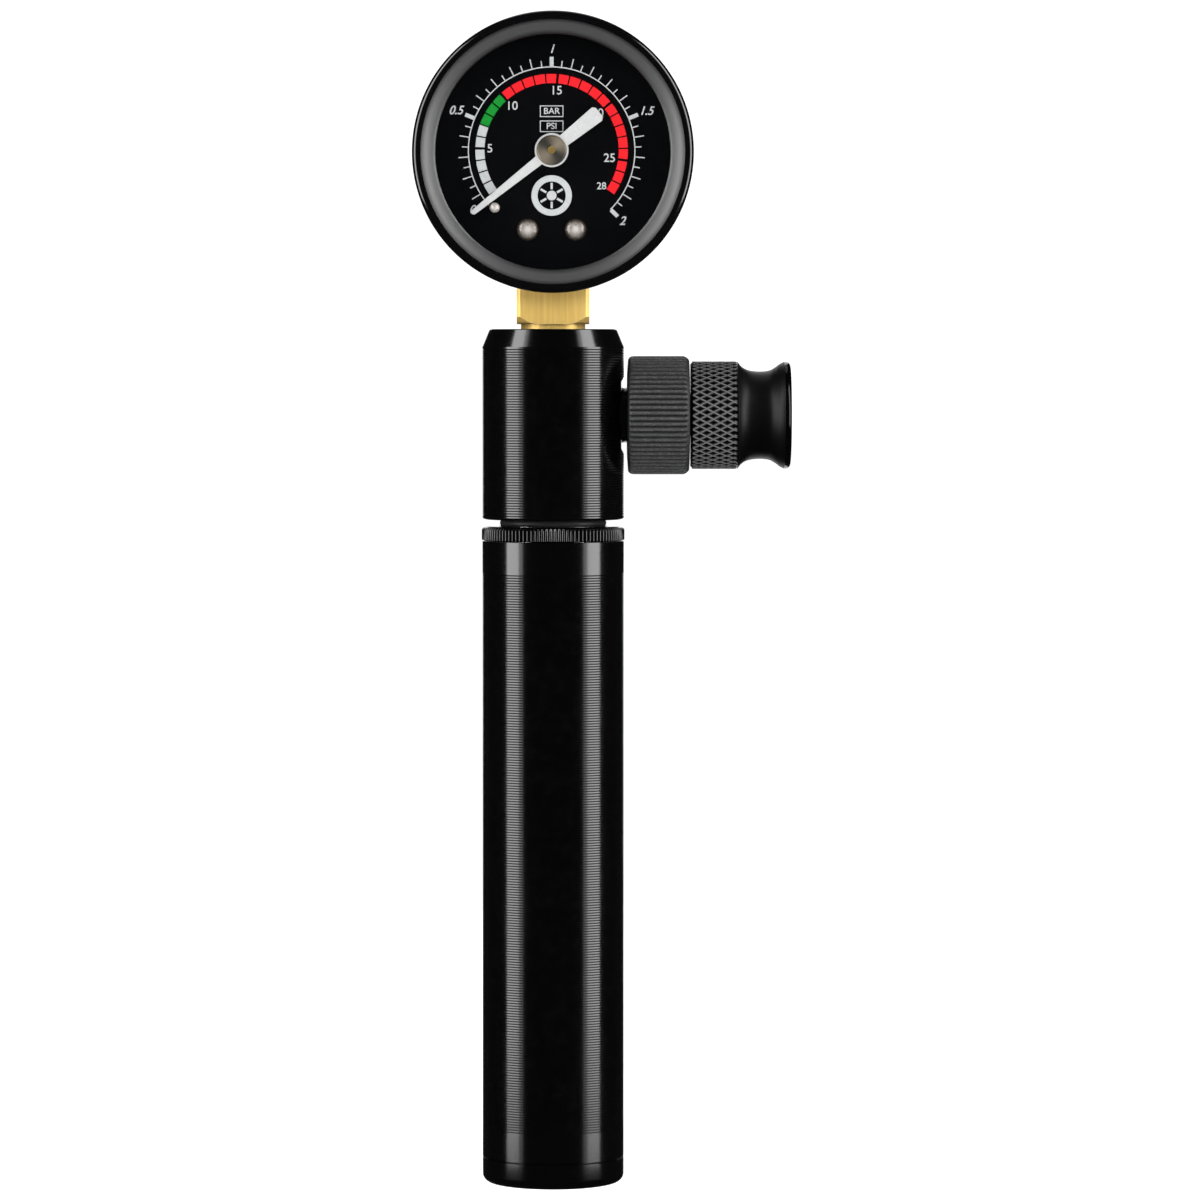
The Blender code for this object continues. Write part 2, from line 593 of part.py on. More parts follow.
def make_sector(gauge):
    """Toothed fan on its own arbor, with a tail and a pin for the link."""
    teeth = round(PINION_TEETH * SECTOR_PITCH_R / PINION_PITCH_R)
    pitch = 360.0 / teeth
    first = SECTOR_DIRECTION + pitch / 2 - 11 * pitch
    outline = gear_outline(teeth, SECTOR_PITCH_R, 0.45, first, 12)
    hub_r, tail_r = 1.5, 0.8
    outline += arc((0, 0), hub_r, 190, 260, 4)
    tail = polar(SECTOR_TAIL, SECTOR_TAIL_ANGLE)
    outline += arc(tail, tail_r, SECTOR_TAIL_ANGLE - 90, SECTOR_TAIL_ANGLE + 90, 6)
    outline += arc((0, 0), hub_r, -10, 60, 4)
    pivot = sector_pivot()
    location = (pivot.x, pivot.y, 0)
    bm = plate_mesh(outline, 2.6, 3.4)
    sector = add_object("sector_gear", bm, BRASS, gauge, location)
    profile = [(0, 0.1), (0.5, 0.1), (0.5, 1.2), (0.9, 1.2), (0.9, 4.4), (0.5, 4.4), (0.5, 5.3)]
    shape(sector, "UNION", turned_mesh([*profile, (0, 5.3)], 16), gauge, location)
    pin_at = pivot + tail
    shape(sector, "UNION", cylinder_mesh(0.35, 1.4, 3.0, 12), gauge, (pin_at.x, pin_at.y, 0))


def make_link(gauge):
    """Flat bar from the sector's tail pin to the end of the Bourdon tube."""
    start = sector_pivot() + polar(SECTOR_TAIL, SECTOR_TAIL_ANGLE)
    along = polar(BOURDON_R, TIP_ANGLE) - start
    end_r = 1.0
    outline = arc((0, 0), end_r, 90, 270, 8) + arc((along.length, 0), end_r, -90, 90, 8)
    holes = [(0, 0, 0.55, 12), (along.length, 0, 0.55, 12)]
    turn = math.degrees(math.atan2(along.y, along.x))
    plate("tip_link", outline, 1.65, 2.3, BRASS, holes, gauge, (start.x, start.y, 0), turn)


def make_movement_frame(gauge):
    pivot = sector_pivot()
    bearings = [(HUB.x, HUB.y, 0.85, 16), (pivot.x, pivot.y, 0.75, 16)]
    upper = [(10.0, -5.0), (12.3, -1.4), (11.2, 0.4), (5.8, 5.6), (-5.8, 5.6)]
    outline = [(-6.2, -8.4), (9.6, -8.4), *upper]
    plate("movement_front_plate", outline, 4.8, 5.6, BRASS, bearings, gauge)
    foot = [(-6.2, -8.4), (-5.3, -8.4), (-5.3, -12.8), (5.3, -12.8), (5.3, -8.4), (9.6, -8.4)]
    screw_holes = [(x, PLATE_SCREW_Y, 0.8, 12) for x in PLATE_SCREWS.values()]
    plate("movement_back_plate", foot + upper, -0.1, 0.7, BRASS, bearings + screw_holes, gauge)
    for number, (x, y) in enumerate(PILLARS, start=1):
        profile = [(0, 0.9), (0.9, 0.9), (0.9, 4.6), (0, 4.6)]
        turned(f"movement_pillar_{number}", profile, BRASS, 12, gauge, (x, y, 0))
    profile = [(0, -1.4), (1.2, -1.4), (1.2, -0.4), (0.55, -0.4), (0.55, 2.3), (0, 2.3)]
    for name, x in PLATE_SCREWS.items():
        turned(name, profile, STEEL, 16, gauge, (x, PLATE_SCREW_Y, 0))


def make_hairspring(gauge):
    """A flat spiral strip round the pinion arbor."""
    turns, steps, inner_r, outer_r, half_strip, low, high = 3.5, 20, 1.4, 4.1, 0.1, 3.85, 4.45
    count = round(turns * steps)
    bm = bmesh.new()
    rings = []
    for i in range(count + 1):
        radius = inner_r + (outer_r - inner_r) * i / count
        degrees = 360.0 * i / steps
        inside = polar(radius - half_strip, degrees)
        outside = polar(radius + half_strip, degrees)
        corners = [(inside, low), (outside, low), (outside, high), (inside, high)]
        rings.append([bm.verts.new((at.x, at.y, z)) for at, z in corners])
    sweep_faces(bm, rings)
    add_object("hairspring", bm, STEEL, gauge, (HUB.x, HUB.y, 0))


def make_bourdon(gauge):
    """Flattened tube bent round the movement, from the socket's bridge to the tip piece."""
    half_thick, low, high, steps = 1.1, -5.4, -1.0, 30
    middle = (low + high) / 2
    half_wide = (high - low) / 2
    bm = bmesh.new()
    rings = []
    for i in range(steps + 1):
        degrees = BOURDON_START + (BOURDON_END - BOURDON_START) * i / steps
        section = arc((0, 0), 1.0, 22.5, 382.5, 8)[:-1]
        points = [(polar(BOURDON_R + half_thick * u, degrees), v) for u, v in section]
        rings.append([bm.verts.new((at.x, at.y, middle + half_wide * v)) for at, v in points])
    sweep_faces(bm, rings)
    add_object("bourdon_tube", bm, BRASS, gauge)
    half, lug_half, hole_r = 1.4, 1.1, 0.55
    at = polar(BOURDON_R, TIP_ANGLE)
    block = [(-half, -half), (half, -half), (half, half), (-half, half)]
    bm = plate_mesh(block, low, high)
    location = (at.x, at.y, 0)
    tip = add_object("tube_tip", bm, BRASS, gauge, location, TIP_ANGLE)
    lug = plate_mesh([(x * lug_half / half, y * lug_half / half) for x, y in block], high - 1, 1.3)
    shape(tip, "UNION", lug, gauge, location)
    shape(tip, "DIFFERENCE", cylinder_mesh(hole_r, high + 0.5, 2.5, 12), gauge, location)


def make_gauge(gauge):
    make_gauge_socket(gauge)
    ring("gauge_seal", 2.2, 4.8, GAUGE_SOCKET_BOTTOM + 0.2, 125.7, RUBBER, SMALL)
    make_case(gauge)
    make_bezel(gauge)
    make_dial(gauge)
    make_pointer(gauge)
    make_pinion(gauge)
    make_sector(gauge)
    make_link(gauge)
    make_movement_frame(gauge)
    make_hairspring(gauge)
    make_bourdon(gauge)


def main():
    clear_scene()
    outlet = frame("outlet_axis", (0, 0, OUTLET_Z), (0, 90, 0))
    gauge = frame("gauge_axis", (0, 0, GAUGE_Z), (90, 0, 0))
    make_handle()
    make_rod()
    make_piston()
    make_barrel()
    make_rod_guide()
    head = make_head()
    cut_outlet(head, outlet)
    make_check_valve()
    make_valve_spring()
    make_stem(outlet)
    make_knob(outlet)
    make_core_pin(outlet)
    make_thumb_nut(outlet)
    make_gauge(gauge)


main()
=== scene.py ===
# %% [markdown]
# # A hand pump with a dial gauge
#
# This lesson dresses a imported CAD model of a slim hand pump. The model already has every piece at its
# real size, and the joints that move them, but its surfaces are plain. Here each piece that the eye
# meets is made again with its grooves, knurls and print, and every finish is built from nodes.

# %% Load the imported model
import json
import math

import bmesh
import bpy
from mathutils import Matrix, Vector


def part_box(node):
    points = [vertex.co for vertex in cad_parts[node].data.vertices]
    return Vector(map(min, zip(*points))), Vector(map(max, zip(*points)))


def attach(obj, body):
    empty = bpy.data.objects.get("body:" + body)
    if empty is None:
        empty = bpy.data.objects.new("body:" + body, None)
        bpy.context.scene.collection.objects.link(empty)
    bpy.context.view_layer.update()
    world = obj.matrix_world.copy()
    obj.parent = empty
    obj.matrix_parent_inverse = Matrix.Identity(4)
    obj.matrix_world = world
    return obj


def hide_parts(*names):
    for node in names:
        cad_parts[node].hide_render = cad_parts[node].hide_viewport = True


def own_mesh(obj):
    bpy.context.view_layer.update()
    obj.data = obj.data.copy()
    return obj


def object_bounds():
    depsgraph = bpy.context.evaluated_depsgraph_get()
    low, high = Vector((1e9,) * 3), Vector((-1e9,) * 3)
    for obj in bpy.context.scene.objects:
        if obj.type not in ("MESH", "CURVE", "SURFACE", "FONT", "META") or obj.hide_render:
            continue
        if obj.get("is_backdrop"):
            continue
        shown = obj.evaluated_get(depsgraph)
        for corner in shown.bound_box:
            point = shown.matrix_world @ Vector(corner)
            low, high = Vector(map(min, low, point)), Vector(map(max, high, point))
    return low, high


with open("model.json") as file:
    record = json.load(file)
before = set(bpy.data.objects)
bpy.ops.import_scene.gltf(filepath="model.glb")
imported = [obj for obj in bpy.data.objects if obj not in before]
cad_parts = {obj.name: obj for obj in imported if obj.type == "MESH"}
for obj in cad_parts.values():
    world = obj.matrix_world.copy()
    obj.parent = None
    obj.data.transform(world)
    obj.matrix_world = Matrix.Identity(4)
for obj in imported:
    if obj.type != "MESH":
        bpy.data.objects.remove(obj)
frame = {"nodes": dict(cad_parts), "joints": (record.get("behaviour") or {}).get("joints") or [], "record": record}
cad_low, cad_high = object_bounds()
print("the pump is", [round(1000 * side, 1) for side in cad_high - cad_low], "mm")

# %% [markdown]
# ## Measuring before making
#
# A turner reads the drawing before cutting, and so does this script. Sizes come from the packed
# solids, in millimetres, because the small numbers of a turned part are easier to read that way.
# Three axes carry everything: the pump's own axis, the outlet's axis along X, and the gauge's axis,
# which looks out of the dial. In the last two, a piece is drawn as if it stood upright, and a matrix
# lays it down. So one lathe function serves all of them.

# %% Sizes and axes
MM = 0.001


def limits(node):
    """A node's lowest and highest corner in millimetres."""
    low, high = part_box(node)
    return low / MM, high / MM


tube_low, tube_high = limits("handle_tube")
collar_high = limits("handle_collar")[1]
head_low, head_high = limits("pump_head")
knob_low, knob_high = limits("pin_knob")
nut_low, nut_high = limits("thumb_nut")
case_low, case_high = limits("gauge_case")
bezel_low, bezel_high = limits("bezel_ring")
dial_low, dial_high = limits("dial_plate")
joints = {joint["name"]: joint for joint in frame["joints"]}

TUBE_R = tube_high.x
OUTLET_Z = (nut_low.z + nut_high.z) / 2
GAUGE_Z = (bezel_low.z + bezel_high.z) / 2
DIAL_FACE = -dial_low.y
hub_place = Vector(joints["pointer_sweep"]["pos_m"]) / MM
HUB = Vector((hub_place.x, hub_place.z - GAUGE_Z))

UPRIGHT = Matrix.Identity(4)
OUTLET = Matrix.Translation((0, 0, OUTLET_Z * MM)) @ Matrix.Rotation(math.radians(90), 4, "Y")
GAUGE = Matrix.Translation((0, 0, GAUGE_Z * MM)) @ Matrix.Rotation(math.radians(90), 4, "X")
AT_HUB = GAUGE @ Matrix.Translation((HUB.x * MM, HUB.y * MM, 0))
print("tube radius", round(TUBE_R, 2), "outlet height", round(OUTLET_Z, 2), "gauge", round(GAUGE_Z, 2))

# %% [markdown]
# ## Small tools for shapes
#
# Almost every piece of this pump came off a lathe, so the main tool spins an outline. Blender's Screw
# modifier could do it, but knurled pieces also need a radius that changes with the angle. A short
# function that lays the rows of points itself does both. Outlines are lists of (radius, height).

# %% Lathe
def polar(radius, degrees, centre=(0.0, 0.0)):
    """The point at an angle counter-clockwise from +x on a circle."""
    angle = math.radians(degrees)
    return Vector((centre[0] + radius * math.cos(angle), centre[1] + radius * math.sin(angle)))


def arc(centre, radius, start, end, steps):
    """Points of a round stretch of an outline, both ends included."""
    span = end - start
    return [tuple(polar(radius, start + span * i / steps, centre)) for i in range(steps + 1)]


def circle(radius, steps, centre=(0.0, 0.0)):
    """Points of a whole circle."""
    return arc(centre, radius, 0, 360, steps)[:-1]


def rectangle(half_wide, half_tall, y=0.0):
    """Outline of an upright rectangle, its middle at a height y."""
    low, high = y - half_tall, y + half_tall
    return [(-half_wide, low), (half_wide, low), (half_wide, high), (-half_wide, high)]


def add_object(name, data, place=UPRIGHT):
    """Puts a mesh, a curve, a lamp or a camera into the scene."""
    added = bpy.data.objects.new(name, data)
    bpy.context.scene.collection.objects.link(added)
    added.matrix_world = place
    return added


def add_mesh(name, verts, faces, place=UPRIGHT, sharp=30):
    """Makes an object in metres from points in millimetres, shaded smooth up to sharp edges."""
    mesh = bpy.data.meshes.new(name)
    mesh.from_pydata([Vector(v) * MM for v in verts], [], faces)
    bm = bmesh.new()
    bm.from_mesh(mesh)
    bmesh.ops.recalc_face_normals(bm, faces=bm.faces)
    bm.to_mesh(mesh)
    bm.free()
    mesh.shade_smooth()
    mesh.set_sharp_from_angle(angle=math.radians(sharp))
    return add_object(name, mesh, place)


def turned(name, outline, sides=128, place=UPRIGHT, cut=None, sharp=30):
    """Spins a closed outline. cut(radius, height, angle) may lower the radius, as a knurl does."""
    verts, rows = [], []
    for radius, height in outline:
        if radius < 1e-6:
            rows.append([len(verts)])
            verts.append((0, 0, height))
            continue
        rows.append(list(range(len(verts), len(verts) + sides)))
        for k in range(sides):
            angle = math.tau * k / sides
            r = cut(radius, height, angle) if cut else radius
            verts.append((r * math.cos(angle), r * math.sin(angle), height))
    closes_on_axis = len(rows[0]) == 1 and len(rows[-1]) == 1
    pairs = list(zip(rows, rows[1:])) + ([] if closes_on_axis else [(rows[-1], rows[0])])
    faces = []
    for lower, upper in pairs:
        for k in range(sides):
            n = (k + 1) % sides
            if len(lower) == 1:
                faces.append((lower[0], upper[n], upper[k]))
            elif len(upper) == 1:
                faces.append((lower[k], lower[n], upper[0]))
            else:
                faces.append((lower[k], lower[n], upper[n], upper[k]))
    return add_mesh(name, verts, faces, place, sharp)


# %% [markdown]
# Flat things are cut from sheet: the needle and everything printed on the dial. A filled outline,
# pushed up by its thickness, gives them a real edge. Several outlines can go into one piece, and an
# outline inside another becomes a hole.

# %% Sheet shapes
def sheet_piece(name, outlines, low, high, place=UPRIGHT):
    """Fills outlines and raises them from low to high."""
    bm = bmesh.new()
    edges = []
    for points in outlines:
        verts = [bm.verts.new((x * MM, y * MM, low * MM)) for x, y in points]
        edges += [bm.edges.new((verts[i - 1], verts[i])) for i in range(len(verts))]
    bmesh.ops.triangle_fill(bm, use_beauty=True, use_dissolve=False, edges=edges)
    raised = bmesh.ops.extrude_face_region(bm, geom=list(bm.faces))
    top = [v for v in raised["geom"] if isinstance(v, bmesh.types.BMVert)]
    bmesh.ops.translate(bm, vec=(0, 0, (high - low) * MM), verts=top)
    bmesh.ops.recalc_face_normals(bm, faces=bm.faces)
    mesh = bpy.data.meshes.new(name)
    bm.to_mesh(mesh)
    bm.free()
    return add_object(name, mesh, place)


# %% [markdown]
# Two pieces need a second cut, by a milling cutter or a square die. A Boolean makes it. Marks on the
# points of a knurled or ribbed piece tell its finish where its ridges are, which take painted light. The
# last helper ties a finished piece to the body that carries it, and hides the plain solid it stands for.

# %% Machining and fitting
def shown_mesh(source):
    """The mesh that Blender shows: modifiers applied, curves and text filled in."""
    shown = source.evaluated_get(bpy.context.evaluated_depsgraph_get())
    return bpy.data.meshes.new_from_object(shown)


def machine(piece, tool, operation, sharp):
    """Takes a tool's solid away from a piece, or keeps only what both share."""
    modifier = piece.modifiers.new("machined", "BOOLEAN")
    modifier.operation = operation
    modifier.solver = "EXACT"
    modifier.object = tool
    machined = shown_mesh(piece)
    piece.modifiers.clear()
    piece.data = machined
    bpy.data.objects.remove(tool)
    machined.set_sharp_from_angle(angle=math.radians(sharp))


def set_marks(piece, name, rule):
    """Stores on each point a mark from 0 to 1, which a rule finds from its radius and height."""
    marks = piece.data.attributes.new(name, "FLOAT", "POINT")
    for point in piece.data.vertices:
        marks.data[point.index].value = rule(point.co.xy.length / MM, point.co.z / MM)


def fit(piece, body, slot, material, *nodes):
    """Ties a piece to its body and hides the plain solids it stands for. The slot is not used."""
    piece.data.materials.clear()
    piece.data.materials.append(material)
    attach(piece, body)
    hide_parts(*nodes)
    print(f"{piece.name}: {len(piece.data.polygons)} faces, rides on {body}")
    return piece


# %% [markdown]
# ## Small tools for finishes
#
# A finish is a Principled shader plus the marks that making and use leave on it. Values that are
# the same everywhere go straight into the shader's sockets. What varies, such as lathe lines, moulded
# grain or a worn edge, comes from a few nodes that read the piece's own coordinates, in metres. A
# noise that is stretched along one axis becomes a brushed line.

# %% Node helpers
def new_finish(name, colour, roughness, metallic, **sockets):
    """A material with its Principled shader set."""
    material = bpy.data.materials.new(name)
    material.use_nodes = True
    shader = material.node_tree.nodes["Principled BSDF"]
    shader.inputs["Base Color"].default_value = (*colour, 1.0)
    shader.inputs["Roughness"].default_value = roughness
    shader.inputs["Metallic"].default_value = metallic
    for socket, value in sockets.items():
        shader.inputs[socket.replace("_", " ")].default_value = value
    return material


def shader_input(material, socket):
    return material.node_tree.nodes["Principled BSDF"].inputs[socket]


def add_node(material, kind, **inputs):
    node = material.node_tree.nodes.new(kind)
    for socket, value in inputs.items():
        node.inputs[socket.replace("_", " ")].default_value = value
    return node


def join(material, out, into):
    material.node_tree.links.new(out, into)


def own_place(material):
    """Where a point lies in its piece's own space, in metres."""
    return add_node(material, "ShaderNodeTexCoord").outputs["Object"]


def read_mark(material, name):
    """A mark from 0 to 1 that the piece's points carry."""
    node = add_node(material, "ShaderNodeAttribute")
    node.attribute_name = name
    return node.outputs["Fac"]


def calculate(material, operation, first, second=None):
    """A Math node. Its second value is a number or another node's output."""
    node = add_node(material, "ShaderNodeMath")
    node.operation = operation
    join(material, first, node.inputs[0])
    if isinstance(second, float):
        node.inputs[1].default_value = second
    elif second is not None:
        join(material, second, node.inputs[1])
    return node.outputs[0]


def from_axis(material):
    """How far a point lies from its piece's own axis, in metres."""
    flat = add_node(material, "ShaderNodeVectorMath")
    flat.operation = "MULTIPLY"
    flat.inputs[1].default_value = (1, 1, 0)
    join(material, own_place(material), flat.inputs[0])
    length = add_node(material, "ShaderNodeVectorMath")
    length.operation = "LENGTH"
    join(material, flat.outputs["Vector"], length.inputs[0])
    return length.outputs["Value"]


def noise(material, scale, detail=4.0, stretch=(1, 1, 1), roughness=0.55):
    """Noise in the piece's own space; a small stretch draws the pattern out along that axis."""
    mapping = add_node(material, "ShaderNodeMapping", Scale=stretch)
    join(material, own_place(material), mapping.inputs["Vector"])
    texture = add_node(material, "ShaderNodeTexNoise", Scale=scale, Detail=detail, Roughness=roughness)
    join(material, mapping.outputs["Vector"], texture.inputs["Vector"])
    return texture.outputs["Fac"]


def spread(material, value, low, high, start=0.3, end=0.7):
    """Maps the middle of a noise to the range from low to high."""
    node = add_node(material, "ShaderNodeMapRange")
    node.inputs["From Min"].default_value = start
    node.inputs["From Max"].default_value = end
    node.inputs["To Min"].default_value = low
    node.inputs["To Max"].default_value = high
    join(material, value, node.inputs["Value"])
    return node.outputs["Result"]


def blend_colours(material, factor, first, second):
    """Mixes two colours. The first may also be another node's output."""
    node = add_node(material, "ShaderNodeMix")
    node.data_type = "RGBA"
    colours = [socket for socket in node.inputs if socket.type == "RGBA"]
    if isinstance(first, tuple):
        colours[0].default_value = (*first, 1.0)
    else:
        join(material, first, colours[0])
    colours[1].default_value = (*second, 1.0)
    join(material, factor, node.inputs[0])
    return next(socket for socket in node.outputs if socket.type == "RGBA")


def vary_colour(material, factor, first, second):
    join(material, blend_colours(material, factor, first, second), shader_input(material, "Base Color"))


def vary_roughness(material, pattern, low, high, start=0.3, end=0.7):
    join(material, spread(material, pattern, low, high, start, end), shader_input(material, "Roughness"))


def bump(material, height, strength, distance):
    """Raises the surface by a height from 0 to 1, with distance in metres."""
    node = add_node(material, "ShaderNodeBump", Strength=strength, Distance=distance)
    join(material, height, node.inputs["Height"])
    join(material, node.outputs["Normal"], shader_input(material, "Normal"))


def edge_mask(material, radius, start=0.02, end=0.25):
    """1 along sharp edges and 0 elsewhere: a rounded normal differs from the true one there."""
    rounded = add_node(material, "ShaderNodeBevel", Radius=radius)
    rounded.samples = 4
    true = add_node(material, "ShaderNodeNewGeometry")
    dot = add_node(material, "ShaderNodeVectorMath")
    dot.operation = "DOT_PRODUCT"
    join(material, rounded.outputs["Normal"], dot.inputs[0])
    join(material, true.outputs["Normal"], dot.inputs[1])
    return spread(material, dot.outputs["Value"], 1.0, 0.0, 1.0 - end, 1.0 - start)


# %% [markdown]
# ## Black anodising
#
# The handle, the head and the thumb nut are turned from aluminium bar and anodised black. The dyed
# oxide is glassy, so it shows lamps as clear bands, but lathe lines under it stretch the bands a
# little, and a hand leaves faint smears. A dark base with a clear gloss does the first part. Noise
# squeezed along the axis gives the lathe lines, and a slow noise changes the roughness.

# %% Black anodised finish
def anodised(name, colour=(0.0006, 0.0006, 0.0007), roughness=0.13, line_strength=0.12):
    material = new_finish(name, colour, roughness, 0.0, IOR=1.62)
    bump(material, noise(material, 9000.0, 3.0, (0.02, 0.02, 1.0)), line_strength, 0.000004)
    smears = noise(material, 130.0, 5.0, (1.0, 1.0, 0.35))
    vary_roughness(material, smears, roughness - 0.015, roughness + 0.03)
    patches = spread(material, noise(material, 700.0, 4.0), 0.0, 0.06, 0.45, 0.75)
    worn = calculate(material, "MULTIPLY", edge_mask(material, 0.00012), patches)
    vary_colour(material, worn, colour, (0.12, 0.12, 0.125))
    return material


black_anodised = anodised("black_anodised")
print("finish:", black_anodised.name, len(black_anodised.node_tree.nodes), "nodes")

# %% [markdown]
# ## Handle tube
#
# The handle is a 22 mm tube with fine grip grooves, 0.4 mm apart, between two smooth bands. A bump
# map would keep the outline dead straight, and would not break the lamps' reflections into steps.
# So each groove is real: a flat crest that mirrors the lamps and a narrow V between two crests, which
# sends their light away and stays dark.

# %% Handle tube
GROOVE_PITCH = 0.4
GROOVE_DEPTH = 0.085
CREST_SHARE = 0.52


def grooves(radius, low, high):
    """Outline points of a grooved stretch, going up."""
    count = round((high - low) / GROOVE_PITCH)
    points = []
    for i in range(count):
        start = low + i * (high - low) / count
        groove = GROOVE_PITCH * (1 - CREST_SHARE)
        points.append((radius, start))
        points.append((radius - GROOVE_DEPTH, start + groove / 2))
        points.append((radius, start + groove))
    return points


SEAM = 0.06
CAP_SEAM_Z = tube_low.z - 0.1
TUBE_WALL = 1.0
foot, mouth = CAP_SEAM_Z + SEAM, tube_high.z + 0.08
tube_outline = [(TUBE_R - TUBE_WALL, foot), (TUBE_R - 0.08, foot), (TUBE_R, foot + 0.08)]
tube_outline += grooves(TUBE_R, 8.7, 94.9)
tube_outline += [(TUBE_R, mouth - 0.06), (TUBE_R - 0.06, mouth), (TUBE_R - TUBE_WALL, mouth)]
tube = turned("grooved_handle_tube", tube_outline, sides=104, sharp=18)
fit(tube, "handle", "black_anodised", black_anodised, "handle_tube")

# %% [markdown]
# ## End cap
#
# The cap screws into the foot of the handle, and its rounded edge is what rests in the palm. It is
# a plain turned piece: a flat, a round of 1.5 mm, a wall, and a tiny chamfer at the seam that draws
# the thin dark line between cap and tube.

# %% End cap
CAP_EDGE = 1.5
cap_outline = [(0, 0), (6, 0), *arc((TUBE_R - CAP_EDGE, CAP_EDGE), CAP_EDGE, -90, 0, 12)]
cap_top = CAP_SEAM_Z - SEAM
cap_outline += [(TUBE_R, cap_top - 0.1), (TUBE_R - 0.1, cap_top), (TUBE_R - 1.2, cap_top)]
cap_outline += [(TUBE_R - 1.2, cap_top + 3.0), (0, cap_top + 3.0)]
cap = turned("rounded_end_cap", cap_outline)
fit(cap, "handle", "black_anodised", black_anodised, "end_cap")

# %% [markdown]
# ## Knurled collar
#
# The collar that closes the handle has a straight knurl, so that wet fingers can unscrew it. A
# straight knurl is the same groove pressed in parallel to the axis again and again. The lathe
# function takes a rule that lowers the radius with the angle, and the top chamfer cuts the teeth off.

# %% Knurled collar
COLLAR_TEETH = 104
COLLAR_TOOTH_DEPTH = 0.26


def straight_knurl(radius, height, angle):
    wave = abs(math.cos(COLLAR_TEETH * angle / 2))
    root = collar_high.x - COLLAR_TOOTH_DEPTH * (1 - wave ** 0.6)
    return min(radius, root)


BARREL_GAP_R = 8.2
collar_foot = mouth + SEAM
collar_outline = [(BARREL_GAP_R, collar_foot), (collar_high.x - 0.35, collar_foot)]
collar_outline += [(collar_high.x, collar_foot + 0.12), (collar_high.x, collar_high.z - 0.5)]
collar_outline += [(collar_high.x - 0.25, collar_high.z - 0.2), (collar_high.x - 0.6, collar_high.z)]
collar_outline += [(BARREL_GAP_R + 0.3, collar_high.z), (BARREL_GAP_R, collar_high.z - 0.3)]
collar = turned("knurled_collar", collar_outline, sides=COLLAR_TEETH * 6, cut=straight_knurl)
fit(collar, "handle", "black_anodised", black_anodised, "handle_collar")

# %% [markdown]
# ## Barrel and neck ring
#
# Between the collar and the head a little of the inner barrel shows, with a rubber ring round it
# that takes the knock when the pump closes. Pulling the handle shows much more of the barrel, so it
# is finished along its whole length: ground steel, with hair lines running round it.

# %% Steel and rubber
def steel(name, colour=(0.52, 0.53, 0.55), roughness=0.24):
    material = new_finish(name, colour, roughness, 1.0)
    bump(material, noise(material, 7000.0, 3.0, (0.015, 0.015, 1.0)), 0.25, 0.000006)
    cloud = noise(material, 220.0, 4.0)
    vary_roughness(material, cloud, roughness - 0.01, roughness + 0.03)
    vary_colour(material, spread(material, cloud, 0, 1), colour, tuple(0.95 * c for c in colour))
    return material


def soft_rubber(name):
    colour = (0.012, 0.012, 0.012)
    material = new_finish(name, colour, 0.5, 0.0)
    grain = noise(material, 5200.0, 5.0)
    bump(material, grain, 0.2, 0.00002)
    bloom = spread(material, noise(material, 350.0, 4.0), 0, 1)
    vary_colour(material, bloom, colour, (0.03, 0.03, 0.029))
    vary_roughness(material, grain, 0.42, 0.6)
    return material


ground_steel = steel("ground_steel")
rubber = soft_rubber("rubber")
print("finishes:", ground_steel.name, rubber.name)

# %% Barrel and neck ring
barrel_low, barrel_high = limits("pump_barrel")
ring_low, ring_high = limits("neck_ring")
ring_z = (ring_low.z + ring_high.z) / 2
BARREL_R = barrel_high.x
groove_r = BARREL_R - 0.6
barrel_outline = [(BARREL_R - 0.9, barrel_low.z), (BARREL_R - 0.2, barrel_low.z)]
barrel_outline += [(BARREL_R, barrel_low.z + 0.2), (BARREL_R, ring_z - 0.5), (groove_r, ring_z - 0.5)]
barrel_outline += [(groove_r, ring_z + 0.5), (BARREL_R, ring_z + 0.5)]
barrel_outline += [(BARREL_R, barrel_high.z), (BARREL_R - 0.9, barrel_high.z)]
barrel = turned("ground_barrel", barrel_outline)
fit(barrel, "head", "steel", ground_steel, "pump_barrel")

RING_THICK_R = (ring_high.z - ring_low.z) / 2
round_section = circle(RING_THICK_R, 20, (ring_high.x - RING_THICK_R, 0))
SECTION_STRETCH = 1.35
ring_outline = [(x, ring_z + y * SECTION_STRETCH) for x, y in round_section]
neck_ring = turned("rubber_neck_ring", ring_outline)
fit(neck_ring, "head", "rubber", rubber, "neck_ring")

# %% [markdown]
# ## Pump head
#
# The head is a length of the same 22 mm bar, with the same grooves and a smooth chamfer on top.
# Where the outlet screws in, a cutter has milled a flat, 12 mm across, so that the stem seats
# squarely. On the machine that is one cut of a round tool from the side, and a Boolean with a
# cylinder makes the same one here.

# %% Pump head
HEAD_TOP_R = 9.85
SHOULDER_Z = head_high.z - 2.75
head_edge = arc((TUBE_R - 0.4, head_low.z + 0.4), 0.4, -90, 0, 5)
head_outline = [(0, head_low.z + 5), (8.1, head_low.z + 5), (8.1, head_low.z), *head_edge]
head_outline += grooves(TUBE_R, head_low.z + 0.55, SHOULDER_Z - 0.1)
head_outline += [(TUBE_R, SHOULDER_Z), (HEAD_TOP_R + 0.06, head_high.z - 0.12)]
head_outline += [(HEAD_TOP_R - 0.08, head_high.z), (5.1, head_high.z), (5.1, head_high.z - 4)]
head_outline += [(0, head_high.z - 4)]
head = turned("grooved_head", head_outline, sides=128, sharp=18)

